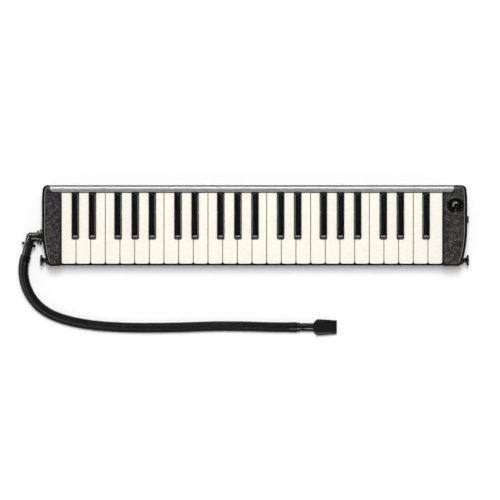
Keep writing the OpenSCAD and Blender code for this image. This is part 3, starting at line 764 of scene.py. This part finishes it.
def white_ring(index, d):
    """The outline of a white key, drawn in by d, as (x, y) points."""
    low, high = KEY_BOX[KEYS[index]]
    left, right = tail_edges(index)
    x0, x1, y0, y1 = low.x + d, high.x - d, low.y + d, high.y - d
    r = max(FRONT_CORNER - d, 0.3)
    out = arc(x0 + r, y0 + r, r, 180, 90, 6) + arc(x1 - r, y0 + r, r, 270, 90, 6)
    out += [(x1, low.y + LIP_DEPTH - 1), (x1, low.y + LIP_DEPTH)]
    if right < high.x:
        out += notch_side(x1, right - d, NOTCH_Y - d, high.x - right)
    out += [(right - d, y1), (left + d, y1)]
    if left > low.x:
        out += notch_side(x0, left + d, NOTCH_Y - d, left - low.x)[::-1]
    return out + [(x0, low.y + LIP_DEPTH), (x0, low.y + LIP_DEPTH - 1)]


def key_middle(index):
    low, high = KEY_BOX[KEYS[index]]
    return (low.x + high.x) / 2 if BLACK[KEYS[index]] else sum(tail_edges(index)) / 2


def hanger(shape, x, top):
    """The ear under a key that turns on the rod, a foot over its hole, and the valve pad."""
    outer, inner = [], []
    for c, s, _ in circle(1, 0, 32):
        reach = 1 / max(abs(c) / 4.5, s / (top - PIVOT.z), -s / 3)
        outer.append((PIVOT.y + reach * c, PIVOT.z + reach * s))
        inner.append((PIVOT.y + ROD_BORE_R * c, PIVOT.z + ROD_BORE_R * s))
    half = HANGER_W / 2
    sides = (-half, outer), (half, outer), (half, inner), (-half, inner)
    shape.loft([[(x + dx, y, z) for y, z in ring] for dx, ring in sides], loop=True)
    x0, x1, z = x - PAD_HALF_W, x + PAD_HALF_W, PAD_Z + PAD_T
    shape.block((x0, PAD_Y0, z + 0.02), (x1, PAD_Y1, top), 0.4)
    shape.block((x0, PAD_Y0, PAD_Z), (x1, PAD_Y1, z), 0.5, 1)


def white_key(index):
    name = KEYS[index]
    lip_end = KEY_BOX[name][0].y + LIP_DEPTH - 0.5
    rings = [[(x, y, WHITE_TOP - drop) for x, y in white_ring(index, d)] for d, drop in KEY_EDGE]
    for d, rise in ((0, 0.3), (0.3, 0), (KEY_WALL, 0)):
        rings.append([(x, y, (LIP_Z if y < lip_end else SKIRT_Z) + rise) for x, y in white_ring(index, d)])
    rings.append([(x, y, KEY_UNDER) for x, y in white_ring(index, KEY_WALL)])
    shape = Shape().loft(rings)
    hanger(shape, key_middle(index), KEY_UNDER + 0.2)
    shape.piece(name + "_lever", name, [IVORY, PAD], [name], "white_key", 30)


def black_key(index):
    name = KEYS[index]
    low, high = KEY_BOX[name]
    shelf_z = WHITE_TOP - 1.6
    rear_top = RAIL_LOW.y - 1.8

    def ring(z, setback=0, draw=0, r=2.2, rear=high.y):
        return [(x, y, z) for x, y in round_rect(low.x + draw, low.y + setback, high.x - draw, rear, r, 5)]

    rings = [ring(z, KEY_WALL, KEY_WALL, 0.5, high.y - KEY_WALL) for z in (KEY_UNDER, SKIRT_Z)]
    rings += [ring(SKIRT_Z, 0.3, 0.3, 1.2, high.y - 0.3), ring(SKIRT_Z + 0.3), ring(shelf_z - 0.3),
              ring(shelf_z, rear=rear_top)]
    for drop, setback, draw, r in BLACK_LEVELS:
        rings.append(ring(BLACK_TOP - drop, setback, draw, r, rear_top - draw * 0.5))
    shape = Shape().loft(rings)
    hanger(shape, key_middle(index), KEY_UNDER + 0.2)
    shape.piece(name + "_lever", name, [EBONY, PAD], [name], "black_key", 34)


SPRING_Y = 2
SPRING_R = 2.05
WIRE_R = 0.35


def coil(x, y, z0, z1, turns):
    """A helical spring with closed end turns."""
    count = turns * 14
    rings = []
    for i in range(count + 1):
        wound = turns * i / count
        rise = min(max((wound - 0.8) / (turns - 1.6), 0), 1)
        outward = Vector((cos(tau * wound), sin(tau * wound), 0))
        centre = Vector((x, y, z0 + WIRE_R + (z1 - z0 - 2 * WIRE_R) * rise)) + outward * SPRING_R
        rings.append([centre + c * outward + Vector((0, 0, s)) for c, s, _ in circle(WIRE_R, 0, 6)])
    return Shape().loft(rings)


def key_spring(index):
    name = KEYS[index]
    z0, z1 = DECK_Z + 0.1, KEY_UNDER - 0.1
    shape = coil(key_middle(index), SPRING_Y, z0, z1, 6)
    piece = shape.piece(name + "_spring", BODY, [STEEL], ["return_springs"], "spring_steel", 60)
    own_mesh(piece)


def stop_felts():
    """Felt strips on the two ribs that stop the pressed keys."""
    shape = Shape()
    for y0, y1, low, high in ((-45.8, -40.2, 2.02, 4.25), (-13.8, -9.2, 3.02, 5.3)):
        shape.block((KEY_X0 + 2, y0, DECK_Z + low), (KEY_X1 - 2, y1, DECK_Z + high), 0.8)
    shape.piece("stop_felts", BODY, [FELT], angle=40)


# ---------- fittings on the ends

PIN_PROFILE = [(0, 0), (5, 0), (5.2, 0.25), (5.1, 0.9), (3.7, 1.7), (3.2, 2.4), (3.2, 4), (3.5, 4.8),
               (5, 5.7), (6.9, 6.3), (7.45, 6.7), (7.5, 7.3), (7.5, 8), (7.25, 8.6), (5.6, 9.05),
               (3.4, 9.3), (2.9, 9.2), (2.5, 8.6), (0, 8.5)]


def smooth_profile(points, steps=3):
    """A softer profile through the same points."""
    out = []
    for i in range(len(points) - 1):
        a, b, c, d = [Vector(points[max(0, min(len(points) - 1, i + k))]) for k in (-1, 0, 1, 2)]
        for j in range(steps):
            t = j / steps
            curve = (2 * a - 5 * b + 4 * c - d) * t ** 2 + (3 * b - a - 3 * c + d) * t ** 3
            q = b + ((c - a) * t + curve) / 2
            out.append((max(q.x, 0), q.y))
    return out + [tuple(points[-1])]


def strap_pins():
    """A flared button on each end, with its screw."""
    for name, seat in zip(("strap_pin_left", "strap_pin_right"), PIN_SEATS):
        shape = Shape().lathe(smooth_profile(PIN_PROFILE), 0, seat, 56)
        shape.lathe([(1.5, -9), (1.5, 0.4)], 1, seat, 20)
        shape.lathe([(0, 8.4), (2, 8.4), (2.2, 8.6), (1.9, 9), (0, 9.15)], 1, seat, 32)
        shape.block((-1.5, -0.3, 9), (1.5, 0.3, 9.25), 0.1, 2, seat)
        finishes = [SATIN_BLACK, DARK_STEEL, GLOSS_BLACK]
        shape.piece(name, BODY, finishes, ["strap_fittings"], "strap_black", 40)


STRAP_L = 196
STRAP_HALF_W = 17
STRAP_T = 1.8
STRAP_Z = 1.1
STITCHES = 46


def hand_strap():
    """A padded band in its bay under the body, stitched along both edges."""
    half_l = STRAP_L / 2
    rings = []
    for i in range(61):
        t = i / 60
        pad = sin(pi * min(max((t - 0.12) / 0.76, 0), 1)) ** 0.5
        ring = []
        for y, z in round_rect(-STRAP_HALF_W, 0, STRAP_HALF_W, STRAP_T, 0.7, 3):
            crown = 0.55 * pad * (1 - (y / STRAP_HALF_W) ** 2)
            ring.append((STRAP_L * t - half_l, y, STRAP_Z + z + (0.15 - crown) * (1 - z / STRAP_T)))
        rings.append(ring)
    shape = Shape().loft(rings)
    for i in range(STITCHES):
        x = (half_l - 16) * (2 * i / (STITCHES - 1) - 1)
        for y in (2.2 - STRAP_HALF_W, STRAP_HALF_W - 2.2):
            shape.block((x - 1.3, y - 0.28, STRAP_Z - 0.08), (x + 1.3, y + 0.28, STRAP_Z + 0.4), 0.2, 1)
    shape.piece("hand_strap", BODY, [STRAP, THREAD], slot="strap_black", angle=50)
    plates = Shape()
    for x in (7 - half_l, half_l - 7):
        plates.block((x - 5, -18, 0.1), (x + 5, 18, STRAP_Z - 0.2), 0.35)
        for y in (-12, 12):
            plates.lathe([(0, 0.02), (2.3, 0.02), (2.6, 0.2), (2.6, 0.5), (0, 0.5)], 1, along(x, y, 0), 28)
    plates.piece("hand_strap_plates", BODY, [GLOSS_BLACK, DARK_STEEL], slot="strap_black", angle=40)


THREAD_R = 4.8
PLUG_R = 3.25
NUT_FLAT = 6.06


def hexagon(a, r, h):
    """Cuts a round profile back to the flats of a nut."""
    return min(r, NUT_FLAT / cos(a % (tau / 6) - tau / 12)) - r


def pickup_unit():
    """Output jack with its nut, the board, and the volume control."""
    shape = Shape()
    place = along(HALF_L, JACK_Y, SIDE_Z, "x")
    tip = node_box("pickup_unit")[1].x - HALF_L
    thread = [(THREAD_R - 0.25, -7)]
    for i in range(17):
        h = 0.55 * i - 6.6
        thread += [(THREAD_R, h), (THREAD_R, h + 0.15)]
        thread += [(THREAD_R - 0.3, h + 0.3), (THREAD_R - 0.3, h + 0.4)]
    thread += [(THREAD_R, tip - 0.5), (THREAD_R - 0.4, tip)]
    shape.tube(thread, [(PLUG_R, -7), (PLUG_R, tip - 0.5), (PLUG_R + 0.45, tip)], 0, place, 64)
    nut = [(6.5, -2), (7, -1.6), (7, -0.6), (6.5, -0.2)]
    shape.tube(nut, [(4.85, -2), (4.85, -0.2)], 0, place, 48, hexagon)
    shape.block((HALF_L - 24, JACK_Y - 7, SIDE_Z - 7), (HALF_L - 6.9, JACK_Y + 7, SIDE_Z + 10), 0.6, 1)
    shape.block((HALF_L - 29, -2, SIDE_Z + 10.3), (HALF_L - 5, 36, SIDE_Z + 11.9), 0.2, 2)
    shape.lathe([(7.4, 0), (8, 0.4), (8, 7.2), (7.6, 8)], 0, along(KNOB.x, KNOB.y, KNOB.z - 11.5), 48)
    shape.tube([(4, -3.5), (4, 0)], [(3.1, -3.5), (3.1, 0)], 0, along(*KNOB), 40)
    for y in (16, 21, 26):
        shape.block((HALF_L - 27, y, SIDE_Z + 11.9), (HALF_L - 24, y + 3, SIDE_Z + 13.4), 0.3, 1)
    finishes = [GLOSS_BLACK, FRAME_BLACK, BOARD]
    shape.piece("pickup_and_jack", BODY, finishes, ["pickup_unit"], "pickup_steel", 30)


# ---------- volume control

KNOB_R = node_box("volume_knob")[1].x - KNOB.x
KNOB_RIDGES = 36
CAP_R = 4.7
CAP_H = 7.45
SCALE_R = 9.2


def knurl(a, r, h):
    """Ridges round the knob's skirt."""
    return -0.11 * (1 - cos(a * KNOB_RIDGES)) if r > KNOB_R - 0.9 and 0.8 < h < 4.4 else 0


def volume_knob():
    """Knurled skirt, a small gloss cap with a dished top, and a pale pointer line."""
    shape = Shape()
    place = along(*KNOB)
    side = [(0, 0.4), (KNOB_R - 0.3, 0.4), (KNOB_R, 0.7), (KNOB_R, 1.1), (KNOB_R, 3.9),
            (KNOB_R - 0.35, 4.5), (KNOB_R - 1, 4.8), (KNOB_R - 2.2, 4.95), (CAP_R + 0.15, 5.1),
            (CAP_R, 5.3)]
    shoulder = CAP_H - 1.7 * tan(radians(34))
    cap = [(CAP_R, shoulder - 0.12), (CAP_R - 0.1, shoulder), (CAP_R - 1.8, CAP_H),
           (CAP_R - 2.1, CAP_H + 0.13), (CAP_R - 2.4, CAP_H + 0.15), (CAP_R - 2.7, CAP_H + 0.05),
           (CAP_R - 3.4, CAP_H - 0.13), (0, CAP_H - 0.2)]
    shape.lathe(side + cap, 0, place, 6 * KNOB_RIDGES, knurl)
    shape.lathe([(3, -8.5), (3, 0.6)], 1, place, 40)
    shape.block((-0.35, -KNOB_R + 0.9, 4.5), (0.35, -CAP_R - 0.4, 5.15), 0.15, 2, place)
    finishes = [GLOSS_BLACK, STEEL, MARK]
    shape.piece("volume_knob_cap", "volume_dial", finishes, ["volume_knob"], "gloss_black", 35)


def dial_trim():
    """Bezel round the knob's recess, the dots of its scale, and the small lamp."""
    shape = Shape()
    shape.tube([(11.7, -0.3), (11.7, 0.35), (11.45, 0.62), (11.1, 0.72), (10.8, 0.62)],
               [(10.45, -2.4), (10.45, 0.3), (10.5, 0.45), (10.6, 0.55), (10.7, 0.6)],
               0, along(KNOB.x, KNOB.y, BODY_H), 96)
    for x, y in arc(KNOB.x, KNOB.y, SCALE_R, -60, 300, 10):
        shape.lathe([(0.45, -0.05), (0.45, 0.12), (0.3, 0.2)], 1, along(x, y, KNOB.z), 14)
    lamp = along(KNOB.x, KNOB.y - RECESS_R + 0.2, BODY_H)
    shape.tube([(1.75, -0.4), (1.75, 0.6), (1.5, 0.85)], [(1.15, -0.4), (1.15, 0.6), (1.2, 0.8)],
               3, lamp, 32)
    shape.lathe([(1.1, -0.3), (1.1, 0.25), (0.8, 0.5), (0.3, 0.6)], 2, lamp, 24)
    finishes = [SATIN_BLACK, DIM_MARK, GLOSS_BLACK, PALE_RIM_HIGHLIGHT]
    shape.piece("dial_bezel_and_scale", BODY, finishes, slot="gloss_black", angle=35)


# ---------- blowing parts

PIPE_R = 6.4
PIPE_BORE_R = 3.4
BEND_X = -HALF_L - 15.9
BEND_TURN = radians(75)
FLANGE = 9.8
CUFF_L = 16.4
SPIGOT_L = 9
# (X before the body's end, radius, thickness) of the plug's collars
COLLARS = ((6.9, 9.2, 2.5), (3.1, 10.8, 2))
LEG = Vector((-cos(BEND_TURN), -sin(BEND_TURN), 0))
LEG_START = Vector((BEND_X, PORT.y, PORT.z))
HOSE_START = LEG_START + LEG * (FLANGE + CUFF_L)


def blow_elbow():
    """Plug with two collars, a tight bend, a collar and a ridged cuff for the hose."""
    plug_end = 19.9 - HALF_L - BEND_X
    plug = [(PIPE_R - 0.1, 0), (PIPE_R, 8), (PIPE_R, 10.5), (6.3, 10.9), (6.3, plug_end - 0.6),
            (5.9, plug_end)]
    shape = Shape().tube(plug, [(PIPE_BORE_R, 0), (PIPE_BORE_R, plug_end)], 0,
                         along(BEND_X, PORT.y, PORT.z, "x"), 64)
    shape.lathe(arc(0, 0, PIPE_R * 1.01, -90, 180, 24), 0, along(*LEG_START), 64)
    leg = Matrix.Translation(LEG_START) @ LEG.to_track_quat("Z", "Y").to_matrix().to_4x4()
    shape.lathe([(PIPE_R - 0.15, 0), (PIPE_R - 0.15, FLANGE + 1)], 0, leg, 64)
    collars = [(along(-HALF_L - before, PORT.y, PORT.z, "x"), r, t) for before, r, t in COLLARS]
    for place, r, t in collars + [(leg @ along(z=FLANGE - 1), 9.8, 3.6)]:
        shape.lathe([(6.2, 0), (r - 0.3, 0), (r, 0.3), (r, t - 0.3), (r - 0.3, t), (6.2, t)], 0, place, 64)
    start, cuff_end = FLANGE + 2.5, FLANGE + CUFF_L - 0.1
    cuff = [(6.15, start)]
    for i in range(6):
        h = start + 0.9 + 1.9 * i
        cuff += [(5.95, h), (6.2, h + 0.25), (6.2, h + 0.95), (5.95, h + 1.2)]
    cuff += [(6.15, cuff_end - 0.4), (5.9, cuff_end)]
    shape.tube(cuff, [(3.6, start), (3.6, cuff_end)], 1, leg, 56)
    spigot = FLANGE + CUFF_L + SPIGOT_L - 1.2
    shape.tube([(4.15, start), (4.15, spigot - 0.4), (3.9, spigot)],
               [(PIPE_BORE_R, start), (PIPE_BORE_R, spigot)], 0, leg, 40)
    finishes = [SATIN_BLACK, GRIP_BLACK]
    shape.piece("blow_elbow_fitting", "blow_elbow", finishes, ["blow_elbow"], "satin_black", 40)


HOSE_LOW, HOSE_HIGH = node_box("hose")
HOSE_R = HOSE_HIGH.z - PORT.z
HOSE_BORE_R = 4.45
RIB_PITCH = 2.4
RIB_DEPTH = 0.5
RINGS_PER_RIB = 6
SMOOTH_END = 9
LYING = Vector((-HALF_L, TIP.y, HOSE_LOW.z + HOSE_R))
# Bezier points of the hose past the bend, from the body's end and the line that the hose lies on
HOSE_RUN = [(-22, 31.6, 3), (16, 15.6, 0.1), (54, -0.4, 0), (110, -1, 0), (160, -0.6, 0), (205, -0.2, 0),
            (215, 1.4, 0), (250, 1.4, 0), (290, 1.4, 0), (300, 0, 0), (TIP.x + HALF_L - 14, 0, 0)]


def hose_path(step):
    """The hose's centre line at even steps: off the cuff, round the corner, then along the floor."""
    knots = [HOSE_START + LEG * SPIGOT_L, HOSE_START + LEG * 30 + Vector((1, 0, -3))]
    knots += [LYING + Vector(p) for p in HOSE_RUN]
    dense = [HOSE_START]
    for i in range(0, len(knots) - 1, 3):
        dense += [bezier(knots[i:i + 4], t / 80) for t in range(81)]
    dense.append(Vector((TIP.x, TIP.y, LYING.z)))
    out, carried = [dense[0]], 0
    for p, q in zip(dense, dense[1:]):
        while (length := (q - p).length) > 1e-9 and carried + length >= step:
            p = p + (q - p) * ((step - carried) / length)
            out.append(p)
            carried = 0
        carried += length
    return out + [dense[-1]]


def hose():
    """Corrugated hose with a smooth cuff at both ends."""
    step = RIB_PITCH / RINGS_PER_RIB
    path = hose_path(step)
    outside, inside = [], []
    for i, p in enumerate(path):
        ahead = (path[min(i + 1, len(path) - 1)] - path[max(i - 1, 0)]).normalized()
        across = Vector((0, 0, 1)).cross(ahead).normalized()
        spokes = [c * across + s * ahead.cross(across) for c, s, _ in circle(1, 0, 28)]
        from_end = min(i, len(path) - 1 - i) * step
        ribbed = min(max((from_end - SMOOTH_END) / 2, 0), 1)
        groove = 0.5 + 0.5 * cos(tau * i / RINGS_PER_RIB)
        r = HOSE_R - RIB_DEPTH * groove * ribbed - (0 if from_end > 0.5 else 0.25)
        outside.append([p + r * s for s in spokes])
        inside.append([p + HOSE_BORE_R * s for s in spokes])
    shape = Shape().loft(outside + inside[::-1], loop=True)
    piece = shape.piece("ribbed_hose", BODY, [RUBBER], slot="hose_rubber", angle=70, ride=False)
    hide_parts("hose")
    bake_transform(piece)


def hose_end():
    """Ferrule on the hose's end, and the gloss stem that the mouthpiece turns on."""
    stem_end = MOUTH_LOW.x - TIP.x
    outer = [(4.2, -12), (4.2, 0.1), (6.2, 0.12), (6.55, 0.5), (6.6, 1.2), (6.35, 2.2), (6.6, 3.2),
             (6.6, 4.2), (6.3, 4.6), (5.5, 4.9), (5.3, 5.4), (5.3, 6.4), (5.8, 7.2), (5.8, stem_end - 0.5),
             (5.5, stem_end - 0.12), (4.6, stem_end - 0.1), (4.6, stem_end + 9.6), (4.3, stem_end + 10)]
    shape = Shape().tube(outer, [(3, -12), (3, stem_end + 10)], 0, along(TIP.x, TIP.y, TIP.z, "x"), 64)
    shape.piece("hose_stem", "hose_end", [GLOSS_BLACK], ["hose_tip"], "gloss_black", 32)


# (share of the length, half width, half thickness, corner radius), outside to the lips, then the bore
BEAK = [(0, 4.75, 4.75, 4.7), (0, 5.4, 5, 4.6), (0.012, 6.1, 5.4, 4.6), (0.03, 6.9, 5.65, 4.4),
        (0.065, 8.3, 5.8, 4.2), (0.11, 9.7, 5.8, 4), (0.16, 10.5, 5.8, 3.9), (0.22, 10.8, 5.78, 3.9),
        (0.3, 10.72, 5.6, 3.8), (0.45, 10.4, 5.1, 3.6), (0.62, 10, 4.45, 3.3), (0.78, 9.6, 3.8, 3),
        (0.86, 9.45, 3.5, 2.8), (0.885, 9.4, 3.42, 2.8), (0.9, 9.25, 3.05, 2.6), (0.93, 9.2, 2.95, 2.5),
        (0.945, 9.38, 3.3, 2.7), (0.975, 9.4, 3.3, 2.7), (0.99, 9.25, 3.1, 2.6), (1, 8.9, 2.7, 2.4),
        (1, 7.1, 1.35, 1.2), (0.7, 5.6, 2, 1.8), (0.45, 3.4, 3, 2.8), (0.42, 4.65, 4.65, 4.6)]


def mouthpiece():
    """Flat beak with rounded shoulders, a ridged lip end, and a slot to blow through."""
    x0, length = MOUTH_LOW.x, MOUTH_HIGH.x - MOUTH_LOW.x
    widen = (MOUTH_HIGH.y - MOUTH_LOW.y) / (2 * max(half_y for _, half_y, _, _ in BEAK))
    rings = []
    for share, half_y, half_z, r in BEAK:
        r = min(r, half_y - 0.05, half_z - 0.05)
        half_y *= widen
        loop = round_rect(-half_y, -half_z, half_y, half_z, r, 8)
        rings.append([(x0 + length * share, TIP.y + y, TIP.z + z) for y, z in loop])
    shape = Shape().loft(rings, loop=True)
    shape.piece("mouthpiece_beak", "mouthpiece", [GRIP_BLACK], ["mouthpiece"], "satin_black", 50)


def drain_button():
    low, high = node_box("drain_button")
    x, y = (low.x + high.x) / 2, (low.y + high.y) / 2
    seat, top = 6.6, DECK_Z - 7.6
    cap = [(0, 1.15), (3.8, 1.1), (4.6, 0.85), (5.4, 0.7), (5.8, 0.8), (6, 1.1), (6, 3.6), (8.6, 3.62),
           (8.6, 4.95), (4, 5), (4, 6.5), (1.4, 6.5), (1.4, 9.8), (1.1, 10)]
    shape = Shape().lathe(cap, 0, along(x, y), 56)
    shape.piece("drain_button_cap", "drain_button", [SATIN_BLACK], ["drain_button"], "satin_black", 35)
    piece = coil(x, y, seat, top, 7).piece("drain_spring", BODY, [STEEL], slot="spring_steel", angle=60)
    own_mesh(piece)


# ---------- build

upper_case()
grained_panel("grained_panel_left", -1)
grained_panel("grained_panel_right", 1)
end_trim()
top_rail()
for number, key in enumerate(KEYS):
    (black_key if BLACK[key] else white_key)(number)
    key_spring(number)
stop_felts()
strap_pins()
hand_strap()
pickup_unit()
volume_knob()
dial_trim()
blow_elbow()
hose()
hose_end()
mouthpiece()
drain_button()
for node, finish in (("chamber_frame", FRAME_BLACK), ("bottom_cover", COVER_BLACK), ("reed_plates", BRASS),
                     ("pivot_rod", STEEL), ("case_screws", DARK_STEEL)):
    paint(node, finish)


# ---------- floor, light and camera

FLOOR_REACH = 6


def floor():
    """A white sheet, clear from below, so the underside can be looked at."""
    mesh = bpy.data.meshes.new("floor")
    corners = [(x * FLOOR_REACH, y * FLOOR_REACH, 0) for x, y in ((-1, -1), (1, -1), (1, 1), (-1, 1))]
    mesh.from_pydata(corners, [], [(0, 1, 2, 3)])
    obj = scene_object("floor", mesh)
    obj.location.z = -0.0003
    n = Nodes("floor_paper")
    obj.data.materials.append(n.set(Base_Color=grey(1), Roughness=0.9, Specular_IOR_Level=0.1))
    either = n.add("ShaderNodeMixShader")
    n.put(either, 0, n.add("ShaderNodeNewGeometry").outputs["Backfacing"])
    n.put(either, 1, n.shader.outputs[0])
    n.put(either, 2, n.add("ShaderNodeBsdfTransparent").outputs[0])
    n.put(n.tree.nodes["Material Output"], "Surface", either.outputs[0])


def linked(name, targets, state):
    """A collection of pieces that a lamp leaves out or keeps to."""
    found = bpy.data.collections.new(name)
    for target in targets:
        found.objects.link(bpy.data.objects[target])
    for member in found.collection_objects:
        member.light_linking.link_state = state
    return found


def area_light(name, place, size, radiance, matt=False, skip=(), only=(), no_shadow=()):
    """A lamp facing the instrument, for either matt light or gloss reflections."""
    data = bpy.data.lights.new(name, "AREA")
    data.shape = "RECTANGLE"
    data.size, data.size_y = size
    data.energy = radiance * pi * size[0] * size[1]
    obj = scene_object(name, data)
    obj.location = place
    obj.rotation_euler = (-Vector(place)).to_track_quat("-Z", "Y").to_euler()
    obj.visible_camera = False
    obj.visible_diffuse = matt
    obj.visible_glossy = not matt
    if skip or only:
        state = "EXCLUDE" if skip else "INCLUDE"
        obj.light_linking.receiver_collection = linked(name + "_lit", skip or only, state)
    if no_shadow:
        obj.light_linking.blocker_collection = linked(name + "_clear", no_shadow, "EXCLUDE")


KEY_DISTANCE = 30
KEY_WIDTH = 5
KEY_TILT = radians(10)
KEY_SPREAD = radians(9.5)
KEY_LEVEL = 41
TOP_LEVEL = 170
FILL_LEVEL = 0.95
SKY = [(0, 0.32), (0.5, 0.3), (0.97, 0.3)]
BACKDROP = grey(0.9)


def world():
    """A soft, nearly even tent. The camera sees a pale backdrop beyond the floor."""
    n = Nodes("studio", bpy.data.worlds.new("studio"))
    height = n.add("ShaderNodeSeparateXYZ", Vector=n.places["Generated"]).outputs["Z"]
    tent = n.ramp(height, [(place, grey(level)) for place, level in SKY])
    seen = n.add("ShaderNodeLightPath").outputs["Is Camera Ray"]
    n.put(n.shader, "Color", n.mix(seen, tent, BACKDROP))
    bpy.context.scene.world = n.owner
    bpy.context.scene.view_settings.view_transform = "Standard"


def levers(keys):
    return [k + "_lever" for k in keys]


def lamps():
    """The key light is far off and narrow, so its shadow is soft to the front and tight at the sides."""
    rail = ["top_rail_extrusion"]
    whites = levers(WHITES)
    clear = rail + ["rail_shade_felt"] + levers(BLACKS)
    left = levers(k for k in BLACKS if KEY_BOX[k][0].x + KEY_BOX[k][1].x < 0)
    right = [lever for lever in levers(BLACKS) if lever not in left]
    rear, rear_size = (0, 1.9, 0.75), (3, 0.35)
    area_light("key_light", (0, KEY_DISTANCE * sin(KEY_TILT), KEY_DISTANCE * cos(KEY_TILT)),
               (KEY_WIDTH, 2 * KEY_DISTANCE * tan(KEY_SPREAD)), KEY_LEVEL, True, no_shadow=clear)
    area_light("top_light", (0, 0, KEY_DISTANCE), (1, 1), TOP_LEVEL, True)
    area_light("rail_strip", (0, 0.98, 2.84), (1.6, 0.42), 3.6)
    area_light("front_strip", (0, -1.6, 1.9), (2, 0.7), 26,
               skip=rail + whites + ["volume_knob_cap", "upper_case_shell"])
    area_light("rear_strip", rear, rear_size, 45, skip=rail + whites)
    area_light("key_sheen", rear, rear_size, 4, only=whites)
    area_light("key_fill", (0, 0.05, 0.15), (0.6, 0.03), FILL_LEVEL, True, only=whites, no_shadow=clear)
    area_light("knob_strip", (-1.2, 1.8, 0.95), (1.8, 0.5), 26,
               only=["volume_knob_cap", "dial_bezel_and_scale", "blow_elbow_fitting"])
    area_light("left_strip", (-2.2, 0.2, 0.9), (2.4, 0.5), 36,
               only=right + ["blow_elbow_fitting", "ribbed_hose", "volume_knob_cap"])
    area_light("right_strip", (2.2, 0.2, 0.9), (2.4, 0.5), 36, only=left)


# how many of the white keys' pitches the picture spans
VIEW_PITCHES = 34.09
VIEW_CENTRE = Vector((-0.0062, -0.0339, WHITE_TOP * MM))


def camera():
    """Looks straight down on the instrument and its hose."""
    pitch = (KEY_BOX[WHITES[1]][0].x - KEY_BOX[WHITES[0]][0].x) * MM
    data = bpy.data.cameras.new("camera")
    data.lens = 600
    data.sensor_width = 36
    data.clip_end = 50
    obj = scene_object("camera", data)
    obj.location = VIEW_CENTRE + Vector((0, 0, pitch * VIEW_PITCHES * data.lens / data.sensor_width))
    bpy.context.scene.camera = obj


floor()
world()
lamps()
camera()
